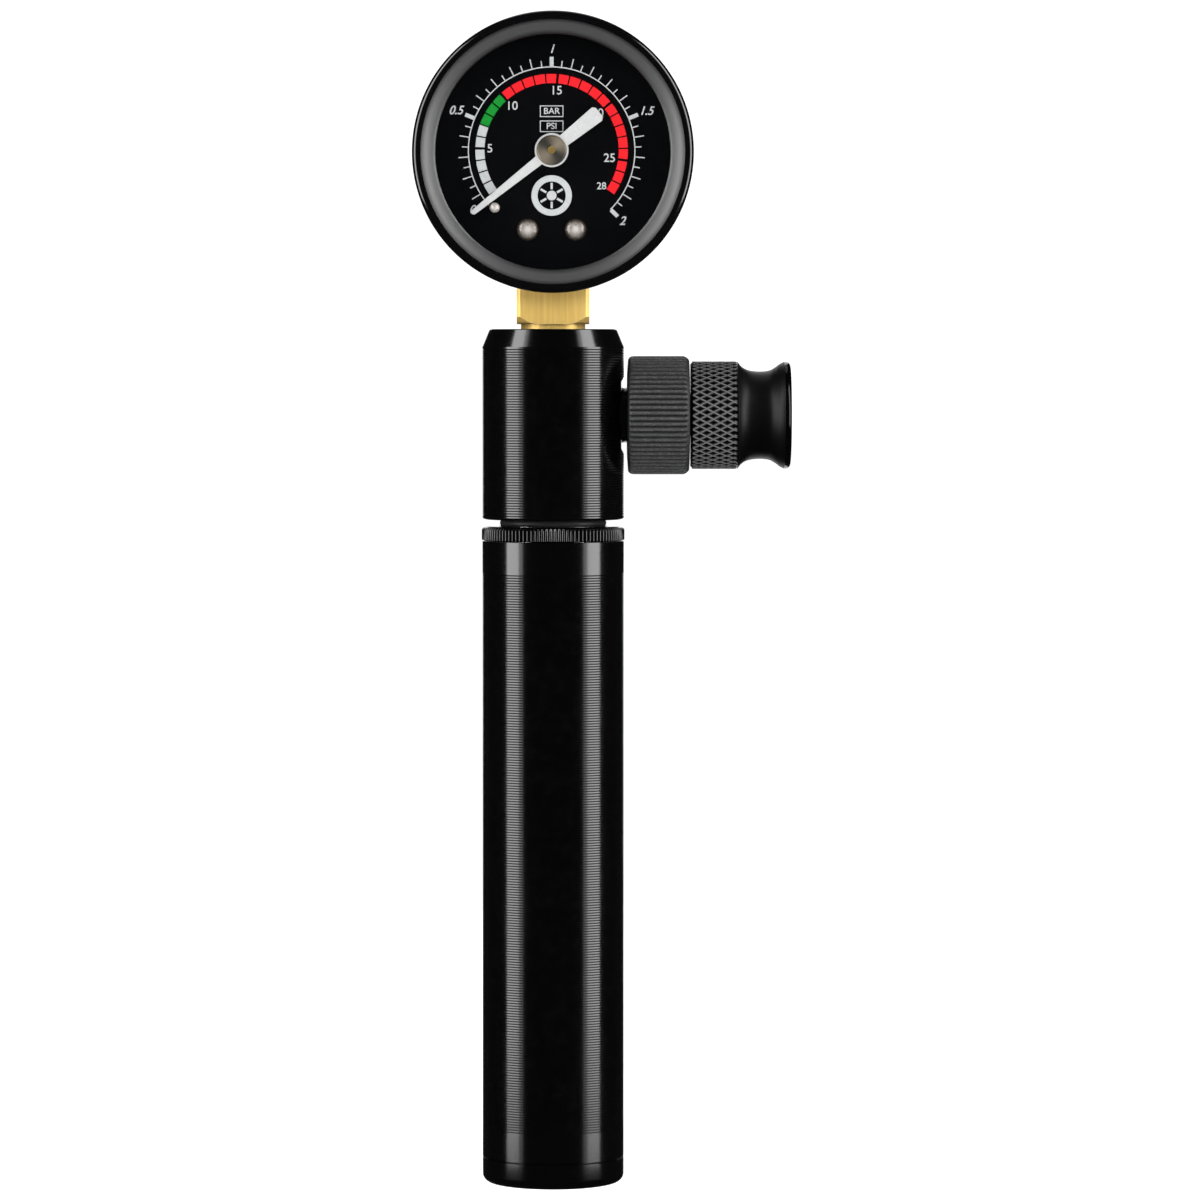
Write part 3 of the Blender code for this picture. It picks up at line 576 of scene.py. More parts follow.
SPOTFACE_X = 10.54
SPOTFACE_R = 6.0
cutter_outline = [(0, SPOTFACE_X), (SPOTFACE_R, SPOTFACE_X), (SPOTFACE_R, 20), (0, 20)]
cutter = turned("spotface_cutter", cutter_outline, sides=96, place=OUTLET)
machine(head, cutter, "DIFFERENCE", sharp=18)
fit(head, "head", "black_anodised", black_anodised, "pump_head")

# %% [markdown]
# ## Outlet stem
#
# A hollow stem screws into the flat and carries the two parts of the coupling. Only its neck shows,
# as a short black step between head and knob, and its flange can be seen deep in the mouth.

# %% Outlet stem
NECK_R = 4.3
stem_outline = [(1.3, SPOTFACE_X - 1.5), (3.9, SPOTFACE_X - 1.5), (3.9, SPOTFACE_X + 0.05)]
stem_outline += [(NECK_R, SPOTFACE_X + 0.05), (NECK_R, 12.4), (3.4, 12.4), (3.4, 23.0)]
stem_outline += [(5.0, 23.0), (5.0, 24.5), (1.3, 24.5)]
stem = turned("outlet_neck", stem_outline, sides=64, place=OUTLET)
fit(stem, "head", "black_anodised", black_anodised, "outlet_stem")

# %% [markdown]
# ## Ribbed knob
#
# The knob is moulded in glass-filled nylon, which has a dull, sandy skin. Its ribs run along it and
# stop in the rounded ends, as if a ribbed bar had been turned down there. The cut rule does just
# that: it takes the smaller of the turned radius and the ribbed one. The grain is a fine bump. The rib
# tops are painted paler, as painted light on the crests, and the paler colour comes in specks where the fibres
# come up.

# %% Moulded nylon finish
def moulded_nylon(name):
    colour = (0.006, 0.006, 0.0065)
    material = new_finish(name, colour, 0.48, 0.0, IOR=1.53)
    grain = noise(material, 5200.0, 6.0, roughness=0.7)
    bump(material, grain, 0.75, 0.00007)
    specks = spread(material, noise(material, 3800.0, 2.0), 0.3, 1.0, 0.45, 0.74)
    # The rib tops take a paler colour in fibre specks: painted light on the crests, and the valleys stay dark.
    painted_light_mask = calculate(material, "MULTIPLY", specks, read_mark(material, "rib_top"))
    vary_colour(material, painted_light_mask, colour, (0.072, 0.072, 0.074))
    vary_roughness(material, grain, 0.38, 0.62)
    return material


nylon = moulded_nylon("moulded_nylon")
print("finish:", nylon.name)

# %% Ribbed knob
KNOB_RIBS = 66
KNOB_RIB_DEPTH = 0.34
KNOB_R = knob_high.z - OUTLET_Z


def ribs(radius, height, angle):
    valley = (0.5 - 0.5 * math.cos(KNOB_RIBS * angle)) ** 2.2
    return min(radius, KNOB_R - KNOB_RIB_DEPTH * valley)


knob_start, knob_end = knob_low.x - 0.02, knob_high.x + 0.08
knob_outline = [(4.6, knob_start), (6.5, knob_start), (8.2, knob_start + 0.12)]
knob_outline += arc((KNOB_R - 0.75, knob_start + 0.85), 0.72, -80, 0, 6)
knob_outline += [(KNOB_R, knob_start + 1.2), (KNOB_R, knob_end - 1.0)]
knob_outline += [(KNOB_R - 0.02, knob_end - 0.8), (KNOB_R - 0.2, knob_end - 0.42)]
knob_outline += [(8.68, knob_end - 0.12), (8.5, knob_end), (3.6, knob_end), (3.6, knob_start + 1.3)]
knob_outline += [(4.6, knob_start + 1.3)]
knob = turned("ribbed_knob", knob_outline, sides=KNOB_RIBS * 10, place=OUTLET, cut=ribs)
set_marks(knob, "rib_top", lambda radius, height: max(0.0, 1.0 - (KNOB_R - radius) / KNOB_RIB_DEPTH))
fit(knob, "knob", "black_plastic", nylon, "pin_knob")

# %% [markdown]
# ## Diamond knurl and flared mouth
#
# The thumb nut is one turned piece: a diamond knurl, a waist for the finger, and a flared rim that
# guides the valve in. A diamond knurl is two sets of helical ridges that cross. With one coordinate
# running along each set, the depth below the ridges is the distance to the nearer one, so every
# diamond becomes a small pit. The rows and the sides are spaced so that the ridges fall exactly on
# mesh points. A mark stored on each point says how near it is to a ridge, for the painted light on the tops.

# %% Thumb nut
DIAMONDS = 48
DIAMOND_LENGTH = 2.1
DIAMOND_DEPTH = 0.36
KNURL_LENGTH = 7.0
STEPS = 8
NUT_R = nut_high.z - OUTLET_Z
knurl_start, knurl_end = nut_low.x + 0.3, 28.5


def off_ridge(value):
    """Distance from the nearest whole number, from 0 to 1."""
    return 2 * abs(value - round(value))


def diamond_pit(height, angle):
    turns = DIAMONDS * angle / math.tau
    rows = (height - knurl_start) / DIAMOND_LENGTH
    nearer = min(off_ridge(turns + rows), off_ridge(turns - rows))
    return max(0.0, nearer - 0.1) / 0.9


def diamond_knurl(radius, height, angle):
    if not knurl_start - 1e-6 <= height <= knurl_end - 0.2 or radius < NUT_R - 0.05:
        return radius
    return radius - DIAMOND_DEPTH * diamond_pit(height, angle)


nut_outline = [(5.45, 22.7), (3.6, 22.7), (3.6, nut_low.x), (NUT_R - 0.45, nut_low.x)]
nut_outline += [(NUT_R - 0.06, knurl_start - 0.04)]
row_gap = DIAMOND_LENGTH / STEPS
knurl_rows = int((KNURL_LENGTH - 0.2) / row_gap) + 1
nut_outline += [(NUT_R, knurl_start + row_gap * i) for i in range(knurl_rows)]
nut_outline += [(NUT_R - 0.07, knurl_end - 0.12), (NUT_R - 0.05, knurl_end), (NUT_R - 0.2, 28.62)]

# %% [markdown]
# The flare's outline is a smooth curve through a handful of radii, from the shoulder down to the
# waist and out to the rim. Short straight lines would show as rings in such a glossy surface, so a
# Catmull-Rom curve puts more points between the given ones.

# %% Flare
def smooth_run(points, steps=5):
    """Points of a Catmull-Rom curve through the given ones."""
    ends = [points[0], *points, points[-1]]
    run = []
    for a, b, c, d in zip(ends, ends[1:], ends[2:], ends[3:]):
        for i in range(steps):
            t = i / steps
            run.append(tuple(
                0.5 * (2 * b[k] + (c[k] - a[k]) * t + (2 * a[k] - 5 * b[k] + 4 * c[k] - d[k]) * t * t
                       + (3 * b[k] - a[k] - 3 * c[k] + d[k]) * t ** 3)
                for k in (0, 1)))
    return [*run, points[-1]]


flare = [(8.05, 28.7), (7.7, 28.95), (7.27, 29.5), (6.92, 30.4), (6.76, 31.9), (6.92, 33.4)]
flare += [(7.45, 34.4), (7.9, 35.0), (8.18, 35.5)]
nut_outline += smooth_run(flare)[1:]
nut_outline += arc((NUT_R - 0.72, nut_high.x - 0.72), 0.72, -34, 90, 14)
nut_outline += [(7.4, nut_high.x - 0.06), (7.2, nut_high.x - 0.3), (5.6, 34.85), (5.45, 34.6)]
nut = turned("thumb_nut_knurled", nut_outline, sides=DIAMONDS * STEPS, place=OUTLET, cut=diamond_knurl)
print("the nut has", len(nut.data.vertices), "points")

# %% [markdown]
# On the knurl the crossing ridges are painted pale, as painted light where the lamps catch them,
# and made dull, and the pits stay black. The mark on each point drives exactly that. A second mark
# makes the waist satin.

# %% Knurl finish
def on_crest(radius, height):
    on_knurl = knurl_start - 0.01 <= height <= knurl_end - 0.15 and radius > NUT_R - 0.5
    pit = (NUT_R - radius) / DIAMOND_DEPTH
    return max(0.0, 1.0 - 5.0 * pit) if on_knurl else 0.0


def in_waist(radius, height):
    return float(knurl_end < height < nut_high.x - 1.0)


set_marks(nut, "crest", on_crest)
set_marks(nut, "waist", in_waist)
knurled_black = anodised("knurled_black", roughness=0.12, line_strength=0.05)
shader_input(knurled_black, "Specular IOR Level").default_value = 0.2
crest_mark = read_mark(knurled_black, "crest")
# The ridges take a pale grey: painted light on the knurl's tops, while the pits keep the black.
vary_colour(knurled_black, crest_mark, (0.0006, 0.0006, 0.0007), (0.13, 0.13, 0.133))
duller = calculate(knurled_black, "ADD", crest_mark, read_mark(knurled_black, "waist"))
vary_roughness(knurled_black, duller, 0.12, 0.45, 0.0, 1.0)
fit(nut, "nut", "black_anodised", knurled_black, "thumb_nut")

# %% [markdown]
# ## Inside the mouth
#
# Seen from the side, the mouth shows a brass sleeve with the valve's thread, a rubber seal and the
# pin that presses the valve open. A thread is a groove whose depth depends on the angle plus the
# height, and the lathe's cut rule makes it in one line.

# %% Brass finish
def brushed_brass(name, stretch=(1.0, 1.0, 0.03), metallic=0.55, roughness=0.42):
    """Bar brass with a satin grain; the small share of matt base stands for its fine haze."""
    colour, darker = (0.92, 0.63, 0.19), (0.78, 0.51, 0.135)
    material = new_finish(name, colour, roughness, metallic)
    lines = noise(material, 2600.0, 4.0, stretch)
    bump(material, lines, 0.3, 0.00001)
    tint = blend_colours(material, spread(material, lines, 0, 1, 0.35, 0.68), darker, colour)
    worn = edge_mask(material, 0.00025, 0.01, 0.2)
    vary_colour(material, worn, tint, (0.95, 0.76, 0.36))
    vary_roughness(material, lines, roughness - 0.06, roughness + 0.1)
    return material


turned_brass = brushed_brass("turned_brass", (0.03, 0.03, 1.0), 0.9, 0.3)
print("finish:", turned_brass.name)

# %% Thread insert, seal and core pin
insert_low, insert_high = limits("thread_insert")
seal_low, seal_high = limits("valve_seal")
pin_low, pin_high = limits("core_pin")
THREAD_PITCH = 0.794
THREAD_DEPTH = 0.45
THREAD_R = 3.95


def valve_thread(radius, height, angle):
    if radius > THREAD_R + 0.01:
        return radius
    turn = height / THREAD_PITCH - angle / math.tau
    run_out = min(1.0, max(0.0, (insert_high.x - 0.3 - height) / 0.5))
    return radius + THREAD_DEPTH * off_ridge(turn) * run_out


thread_rows = 84
span = insert_high.x - insert_low.x - 0.6
insert_outline = [(5.3, insert_low.x), (5.3, insert_high.x), (4.5, insert_high.x)]
insert_outline += [(THREAD_R, insert_high.x - 0.3 - span * i / thread_rows) for i in range(thread_rows)]
insert_outline += [(THREAD_R, insert_low.x)]
insert = turned("threaded_insert", insert_outline, sides=48, place=OUTLET, cut=valve_thread)
fit(insert, "nut", "brass", turned_brass, "thread_insert")

seal_outline = [(1.4, seal_low.x), (3.8, seal_low.x), (3.8, seal_high.x - 0.3), (3.5, seal_high.x)]
seal_outline += [(1.8, seal_high.x), (1.4, seal_high.x - 0.3)]
seal = turned("rubber_valve_seal", seal_outline, sides=64, place=OUTLET)
fit(seal, "head", "rubber", rubber, "valve_seal")

pin_r = pin_high.y
pin_outline = [(0, pin_low.x), (pin_r, pin_low.x), (pin_r, pin_high.x - 0.5)]
pin_outline += arc((pin_r - 0.45, pin_high.x - 0.45), 0.45, 0, 90, 5) + [(0, pin_high.x)]
core_pin = turned("steel_core_pin", pin_outline, sides=40, place=OUTLET)
fit(core_pin, "pin", "steel", ground_steel, "core_pin")

# %% [markdown]
# ## Brass gauge socket
#
# The gauge stands on a square brass bar. Its lower end was turned down to a round collar, and the
# same lathe tool chamfered the square, which leaves an arc on each flat. Its four corners were just
# touched by the tool too, and became narrow bright strips. All of this is what is left when a turned
# outline and a square bar are intersected, so the script does the same, with a Boolean.

# %% Gauge socket
socket_high = limits("gauge_socket")[1]
SQUARE_FLAT = socket_high.x
CORNER_R = 7.55
COLLET_R = 4.975
square_foot = head_high.z + 0.75
square_head = case_low.z + 2.6
socket_outline = [(0, head_high.z - 3.5), (4.9, head_high.z - 3.5), (4.9, head_high.z)]
socket_outline += [(COLLET_R, head_high.z + 0.02), (COLLET_R, square_foot), (5.3, square_foot)]
socket_outline += arc((5.9, square_foot + 1.2), 1.2, -80, -35, 5)
socket_outline += [(CORNER_R, square_foot + 1.15), (CORNER_R, square_head), (0, square_head)]
gauge_socket = turned("brass_gauge_socket", socket_outline, sides=160)
square_bar = sheet_piece("square_bar", [rectangle(SQUARE_FLAT, SQUARE_FLAT)],
                         head_high.z - 10, square_head + 5)
machine(gauge_socket, square_bar, "INTERSECT", sharp=20)
bar_brass = brushed_brass("bar_brass")
fit(gauge_socket, "head", "brass", bar_brass, "gauge_socket")

# %% [markdown]
# ## Gauge case and bezel
#
# The case is a drawn steel cup in black lacquer, and the bezel is rolled over its edge to hold the
# lens. The rolled lip is glossy, and the slope inside it has a satin texture. One turned piece with
# two finishes shows that: the faces between lip and opening take the second one.

# %% Lacquer finishes
def lacquer(name, roughness=0.09, colour=(0.0012, 0.0012, 0.0014)):
    material = new_finish(name, colour, roughness, 0.0, IOR=1.55, Coat_Weight=0.3, Coat_Roughness=0.05)
    bump(material, noise(material, 420.0, 3.0), 0.08, 0.00003)
    vary_roughness(material, noise(material, 160.0, 5.0), roughness - 0.02, roughness + 0.07)
    vary_colour(material, edge_mask(material, 0.00012), colour, (0.01, 0.01, 0.01))
    return material


def satin_lacquer(name):
    colour = (0.004, 0.004, 0.0042)
    material = new_finish(name, colour, 0.42, 0.0, IOR=1.9)
    grain = noise(material, 6200.0, 5.0)
    bump(material, grain, 0.22, 0.000012)
    # The middle of the satin slope is painted lighter, a painted sheen, and the colour falls to the dark base
    # toward its inner and outer edges as painted shade.
    radius = from_axis(material)
    inner = spread(material, radius, 0.0, 1.0, 0.0180, 0.0187)
    outer = spread(material, radius, 1.0, 0.0, 0.0196, 0.0201)
    painted_light_mask = calculate(material, "MULTIPLY", inner, outer)
    vary_colour(material, painted_light_mask, colour, (0.033, 0.033, 0.0334))
    vary_roughness(material, grain, 0.38, 0.5)
    return material


gloss_lacquer = lacquer("gloss_lacquer")
case_lacquer = lacquer("case_lacquer", 0.27, (0.007, 0.007, 0.0075))
ring_satin = satin_lacquer("satin_lacquer")
print("finishes:", gloss_lacquer.name, case_lacquer.name, ring_satin.name)

# %% Gauge case
CASE_R = case_high.x
case_back, case_front = -case_high.y, -case_low.y
case_corner = arc((CASE_R - 2, case_back + 2), 2, -90, 0, 12)
case_outline = [(0, case_back), (CASE_R - 4, case_back), *case_corner, (CASE_R, case_front)]
case_outline += [(CASE_R - 1, case_front), (CASE_R - 1, case_back + 2.2), (CASE_R - 2.2, case_back + 1)]
case_outline += [(0, case_back + 1)]
case = turned("lacquered_case", case_outline, sides=160, place=GAUGE)
fit(case, "head", "gloss_black", case_lacquer, "gauge_case")

# %% Bezel
BEZEL_R = bezel_high.x
bezel_front, bezel_back = -bezel_low.y, -bezel_high.y
LIP_R = 1.0
LIP_END = 110
LENS_OPENING_R = 17.95
LEDGE_Z = 12.05
lip_centre = (BEZEL_R - LIP_R, bezel_front - LIP_R)
lip = arc(lip_centre, LIP_R, 0, LIP_END, 20)
slope_top = lip[-1]
bezel_outline = [(CASE_R + 0.12, bezel_back), (BEZEL_R - 0.25, bezel_back), (BEZEL_R, bezel_back + 0.25)]
bezel_outline += lip
bezel_outline += smooth_run([slope_top, (19.7, 13.72), (19.0, 13.32), (18.15, 12.92)], 3)[1:]
bezel_outline += [(18.03, 12.83), (LENS_OPENING_R, 12.7), (LENS_OPENING_R, LEDGE_Z)]
bezel_outline += [(CASE_R + 0.12, LEDGE_Z)]
bezel = turned("rolled_bezel", bezel_outline, sides=192, place=GAUGE)
fit(bezel, "head", "gloss_black", gloss_lacquer, "bezel_ring")
bezel.data.materials.append(ring_satin)
for face in bezel.data.polygons:
    radius = face.center.xy.length / MM
    height = face.center.z / MM
    face.material_index = int(radius < slope_top[0] and height > 12.1)
print("satin faces:", sum(face.material_index for face in bezel.data.polygons))

# %% [markdown]
# ## Lens and gasket
#
# The lens is a thin disc of clear plastic. A full glass shader would make the dial below it dark
# and noisy, because light has to find its way through. A thin sheet only adds a reflection, which is
# weak head-on and strong at a glancing angle. So the sheet is a mirror whose alpha grows with the
# angle of view, from almost nothing to one.

# %% Lens
def thin_lens(name):
    material = new_finish(name, (0.95, 0.97, 0.97), 0.03, 1.0)
    view_angle = add_node(material, "ShaderNodeLayerWeight", Blend=0.5)
    steep = calculate(material, "POWER", view_angle.outputs["Facing"], 5.0)
    join(material, spread(material, steep, 0.03, 1.0, 0.0, 1.0), shader_input(material, "Alpha"))
    vary_roughness(material, noise(material, 900.0, 3.0), 0.02, 0.07)
    return material


lens_low, lens_high = limits("gauge_lens")
LENS_R = lens_high.x
lens_back, lens_front = -lens_high.y, -lens_low.y
lens_outline = [(0, lens_back), (LENS_R - 0.1, lens_back), (LENS_R, lens_back + 0.1)]
lens_outline += [(LENS_R, lens_front - 0.1), (LENS_R - 0.1, lens_front), (0, lens_front)]
lens = turned("clear_gauge_lens", lens_outline, place=GAUGE)
fit(lens, "head", "clear_lens", thin_lens("clear_plastic"), "gauge_lens")

gasket_low, gasket_high = limits("lens_gasket")
gasket_outline = circle(0.42, 16, (gasket_high.x - 0.5, -(gasket_low.y + gasket_high.y) / 2))
gasket = turned("round_lens_gasket", gasket_outline, place=GAUGE)
fit(gasket, "head", "rubber", rubber, "lens_gasket")

# %% [markdown]
# ## Dial
#
# The dial is a pressed disc in satin black with its scale printed on. The print could be a texture,
# but a printed layer made of thin shapes stays sharp at any size. All angles follow from one rule:
# the scale starts at 225 degrees and sweeps 270 degrees clockwise for two bar.

# %% Dial plate
SCALE_START = 225.0
SCALE_SWEEP = 270.0
FULL_SCALE_BAR = 2.0
BAR_PER_PSI = 0.0689476
INK_LOW, INK_HIGH = DIAL_FACE - 0.01, DIAL_FACE + 0.02


def painted(name, colour, roughness=0.45):
    """Ink or paint: an even coat, a little thinner here and there."""
    material = new_finish(name, colour, roughness, 0.0, IOR=1.45)
    cloud = noise(material, 2400.0, 4.0)
    vary_colour(material, spread(material, cloud, 0, 1), colour, tuple(0.88 * c for c in colour))
    vary_roughness(material, cloud, roughness - 0.06, roughness + 0.08)
    bump(material, cloud, 0.12, 0.000008)
    return material


dial_black = painted("dial_black", (0.0006, 0.0007, 0.0012), 0.36)
DIAL_R = dial_high.x
dial_back = -dial_high.y
dial_outline = [(0, dial_back), (DIAL_R, dial_back), (DIAL_R, DIAL_FACE - 0.12)]
dial_outline += [(DIAL_R - 0.12, DIAL_FACE), (0, DIAL_FACE)]
dial = turned("pressed_dial", dial_outline, place=GAUGE)
fit(dial, "head", "dial_black", dial_black, "dial_plate")

# %% Inks
ink_white = painted("ink_white", (0.41, 0.43, 0.43))
ink_red = painted("ink_red", (0.68, 0.004, 0.010))
ink_green = painted("ink_green", (0.0, 0.21, 0.018))


def bar_angle(bar):
    return SCALE_START - SCALE_SWEEP * bar / FULL_SCALE_BAR


def psi_angle(psi):
    return bar_angle(psi * BAR_PER_PSI)


def ring_part(inner, outer, start, end):
    """Outline of a stretch of a flat ring, from one angle down to another."""
    steps = max(2, round((start - end) / 1.5))
    return arc((0, 0), outer, start, end, steps) + arc((0, 0), inner, end, start, steps)


def radial_bar(inner, outer, degrees, width):
    """Outline of a straight tick that points outward."""
    out = polar(1.0, degrees)
    side = polar(width / 2, degrees + 90)
    ends = [out * inner - side, out * outer - side, out * outer + side, out * inner + side]
    return [tuple(point) for point in ends]


def print_layer(name, outlines, ink, place=AT_HUB, raised=0.0):
    """A layer of ink on the dial."""
    layer = sheet_piece(name, outlines, INK_LOW, INK_HIGH + raised, place)
    return fit(layer, "head", "pointer_white", ink)


print("1 bar stands at", bar_angle(1.0), "degrees, 10 psi at", round(psi_angle(10), 1))

# %% [markdown]
# ### Bar scale
#
# A thin arc carries a tick every 0.05 bar. The tenths are longer, and the halves are thick.

# %% Bar scale
ARC_R = 12.75
ARC_WIDTH = 0.17
FIRST_PRINTED = 221.0
arc_line = ring_part(ARC_R - ARC_WIDTH / 2, ARC_R + ARC_WIDTH / 2, FIRST_PRINTED, bar_angle(2))
print_layer("bar_scale_arc", [arc_line], ink_white)
ticks = []
for step in range(1, 41):
    half, tenth = step % 10 == 0, step % 2 == 0
    reach = 14.3 if tenth else 13.75
    width = 0.6 if half else 0.17
    ticks.append(radial_bar(ARC_R + 0.1, reach, bar_angle(step * 0.05), width))
print_layer("bar_scale_ticks", ticks, ink_white, raised=0.004)

# %% [markdown]
# ### Coloured psi band
#
# The band is split at every psi by a hair line and at every five by a thick one. So it is made of
# short stretches: white to 7 psi, green to 10, red to the end. The stretches of one ink are one
# piece, as they are in the printer's screen.

# %% Psi band
BAND_INNER, BAND_OUTER = 10.28, 11.68
HAIR_GAP, THICK_GAP = 1.1, 2.0
BAND_END = 28


def band(first, last, name, ink):
    stretches = []
    for psi in range(first, last):
        before = THICK_GAP if psi % 5 == 0 and psi else HAIR_GAP
        after = THICK_GAP if (psi + 1) % 5 == 0 else HAIR_GAP
        start = min(psi_angle(psi) - before / 2, FIRST_PRINTED)
        end = psi_angle(psi + 1) + after / 2
        stretches.append(ring_part(BAND_INNER, BAND_OUTER, start, end))
    print_layer(name, stretches, ink)


band(0, 7, "psi_band_white", ink_white)
band(7, 10, "psi_band_green", ink_green)
band(10, BAND_END, "psi_band_red", ink_red)

# %% [markdown]
# ### Figures
#
# Text objects use Blender's own font. The bar figures lean, which the font's shear does, and the psi
# figures stand upright. Each figure is centred on its place and raised by the same ink thickness.
# The zero is printed a little past the start of the scale.

# %% Figures
FONT_CAPITAL = 0.729


def printed(name, words, height, x, y, shear=0.0, weight=0.0, width=1.0):
    text = bpy.data.curves.new(name, "FONT")
    text.body = words
    text.size = height / FONT_CAPITAL * MM
    text.shear = shear
    text.offset = weight * MM
    text.align_x = "CENTER"
    text.align_y = "CENTER"
    text.extrude = 0.01 * MM
    text.resolution_u = 6
    place = AT_HUB @ Matrix.Translation((x * MM, y * MM, (DIAL_FACE + 0.01) * MM))
    letters = add_object(name, text, place)
    mesh = shown_mesh(letters)
    for vertex in mesh.vertices:
        vertex.co.x *= width
    piece = add_object(name, mesh, place)
    bpy.data.objects.remove(letters)
    fit(piece, "head", "pointer_white", ink_white)


FIGURE_HEIGHT = 1.35
FIRST_FIGURE_BAR = 0.062
bar_figures = {"0": 15.2, "0.5": 15.9, "1": 15.45, "1.5": 15.65, "2": 15.3}
for words, radius in bar_figures.items():
    bar = float(words) or FIRST_FIGURE_BAR
    at = polar(radius, bar_angle(bar))
    printed(f"bar_figure_{words}", words, FIGURE_HEIGHT, at.x, at.y, shear=0.32, weight=0.03, width=0.95)
psi_figures = {5: 9.45, 10: 9.1, 15: 9.15, 20: 9.05, 25: 8.95, BAND_END: 9.4}
for psi, radius in psi_figures.items():
    height = 1.1 if psi == BAND_END else FIGURE_HEIGHT
    at = polar(radius, psi_angle(psi))
    printed(f"psi_figure_{psi}", str(psi), height, at.x, at.y, weight=0.015)

# %% [markdown]
# The two units stand in small frames above the hub. Below the hub there is a plain sign of a wheel.

# %% Units and wheel sign
def framed_unit(name, words, y):
    half_wide, half_tall, line = 1.8, 0.88, 0.13
    frame_lines = [rectangle(half_wide, half_tall, y), rectangle(half_wide - line, half_tall - line, y)]
    print_layer(f"{name}_frame", frame_lines, ink_white)
    printed(f"{name}_word", words, 0.98, 0, y, weight=0.012, width=1.02)


framed_unit("unit_bar", "BAR", 5.98)
framed_unit("unit_psi", "PSI", 3.68)

SIGN_Y = -6.9
sign_place = AT_HUB @ Matrix.Translation((0, SIGN_Y * MM, 0))
print_layer("wheel_sign_tyre", [circle(3.1, 64), circle(2.15, 48)], ink_white, sign_place)
spokes = [radial_bar(0.95, 1.95, 90 + 60 * i, 0.34) for i in range(6)]
print_layer("wheel_sign_spokes", [*spokes, circle(0.75, 32)], ink_white, sign_place)

# %% [markdown]
# ## Screws and stop pin
#
# Two nickel screws hold the dial, and a small pin stops the needle at zero. Their heads are domes,
# so the outline is part of a circle.

# %% Nickel finish
def nickel(name, colour=(0.76, 0.71, 0.66), roughness=0.26, metallic=0.5):
    """Plated dome with painted light: a painted highlight near its axis, and painted shade, dark brown, from its
    middle height down to the foot.
    """
    material = new_finish(name, colour, roughness, metallic)
    # Light colour near the axis is a painted highlight; dark brown toward the rim is painted shade.
    painted_dome_shade = spread(material, from_axis(material), 0.0, 1.0, 0.00025, 0.00145)
    vary_colour(material, painted_dome_shade, colour, (0.05, 0.037, 0.027))
    cloud = noise(material, 900.0, 3.0)
    vary_roughness(material, cloud, roughness - 0.04, roughness + 0.08)
    bump(material, cloud, 0.1, 0.000003)
    return material


bright_nickel = nickel("bright_nickel")
print("finish:", bright_nickel.name)


# %% Dial screws and stop pin
def dome(radius, foot, top, steps=10):
    """Outline of a cap of a sphere, from its foot to its top on the axis."""
    rise = top - foot
    ball = (radius * radius + rise * rise) / (2 * rise)
    points = []
    for i in range(steps + 1):
        x = radius * (1 - i / steps)
        points.append((x, foot + math.sqrt(ball * ball - x * x) - (ball - rise)))
    return points


for side in ("left", "right"):
    low, high = limits(f"dial_screw_{side}")
    head_r = (high.x - low.x) / 2
    seat, top = DIAL_FACE + 0.02, -low.y
    screw_outline = [(0, seat - 1), (0.8, seat - 1), (0.8, seat), (head_r - 0.05, seat)]
    screw_outline += dome(head_r, seat + 0.12, top)
    centre = Vector(((low.x + high.x) / 2, (low.z + high.z) / 2 - GAUGE_Z))
    place = GAUGE @ Matrix.Translation((centre.x * MM, centre.y * MM, 0))
    screw = turned(f"domed_dial_screw_{side}", screw_outline, sides=48, place=place)
    fit(screw, "head", "nickel", bright_nickel, f"dial_screw_{side}")

low, high = limits("zero_stop_pin")
pin_head_r = (high.x - low.x) / 2
stop_outline = [(0, DIAL_FACE - 0.5), (0.4, DIAL_FACE - 0.5), (0.4, DIAL_FACE)]
stop_outline += [(pin_head_r, DIAL_FACE + 0.1)]
stop_outline += [(pin_head_r, -low.y - 0.6)] + dome(pin_head_r, -low.y - 0.6, -low.y, 8)[1:]
place = GAUGE @ Matrix.Translation(((low.x + high.x) / 2 * MM, ((low.z + high.z) / 2 - GAUGE_Z) * MM, 0))
stop_pin = turned("domed_stop_pin", stop_outline, sides=40, place=place)
fit(stop_pin, "head", "nickel", bright_nickel, "zero_stop_pin")

# %% [markdown]
# ## Needle and hub
#
# The needle is stamped from thin sheet and painted white: a long point, a broad tail for balance and
# a round boss. It rests near zero, and the model's joint turns it. The hub is a turned disc pressed
# on the arbor. The arbor keeps its CAD shape, and its brass end shows in the middle of the hub.

# %% Needle
POINTER_REST = 218.4
POINTER_LENGTH = 15.6
TAIL_LENGTH = 9.3
BOSS_R = 2.6
needle_low, needle_high = limits("pointer")
tip_r, needle_half, tail_half, tail_end_half, clipped = 0.4, 0.77, 0.97, 1.28, 0.42
needle_angle = math.degrees(math.asin(needle_half / BOSS_R))
tail_angle = math.degrees(math.asin(tail_half / BOSS_R))
needle_outline = arc((POINTER_LENGTH - tip_r, 0), tip_r, -90, 90, 10)
needle_outline += arc((0, 0), BOSS_R, needle_angle, 180 - tail_angle, 20)
needle_outline += [(-TAIL_LENGTH + clipped, tail_end_half), (-TAIL_LENGTH, tail_end_half - clipped)]
needle_outline += [(-TAIL_LENGTH, -tail_end_half + clipped), (-TAIL_LENGTH + clipped, -tail_end_half)]
needle_outline += arc((0, 0), BOSS_R, 180 + tail_angle, 360 - needle_angle, 20)
bore = circle(0.75, 24)
needle_place = AT_HUB @ Matrix.Rotation(math.radians(POINTER_REST), 4, "Z")
needle = sheet_piece("white_needle", [needle_outline, bore], -needle_high.y, -needle_low.y, needle_place)
broken_edge = needle.modifiers.new("broken_edge", "BEVEL")
broken_edge.width = 0.06 * MM
broken_edge.segments = 2
broken_edge.limit_method = "ANGLE"
broken_edge.angle_limit = math.radians(40)
broken_edge.harden_normals = True
needle_white = painted("needle_white", (0.44, 0.445, 0.445), 0.4)
fit(needle, "needle", "pointer_white", needle_white, "pointer")

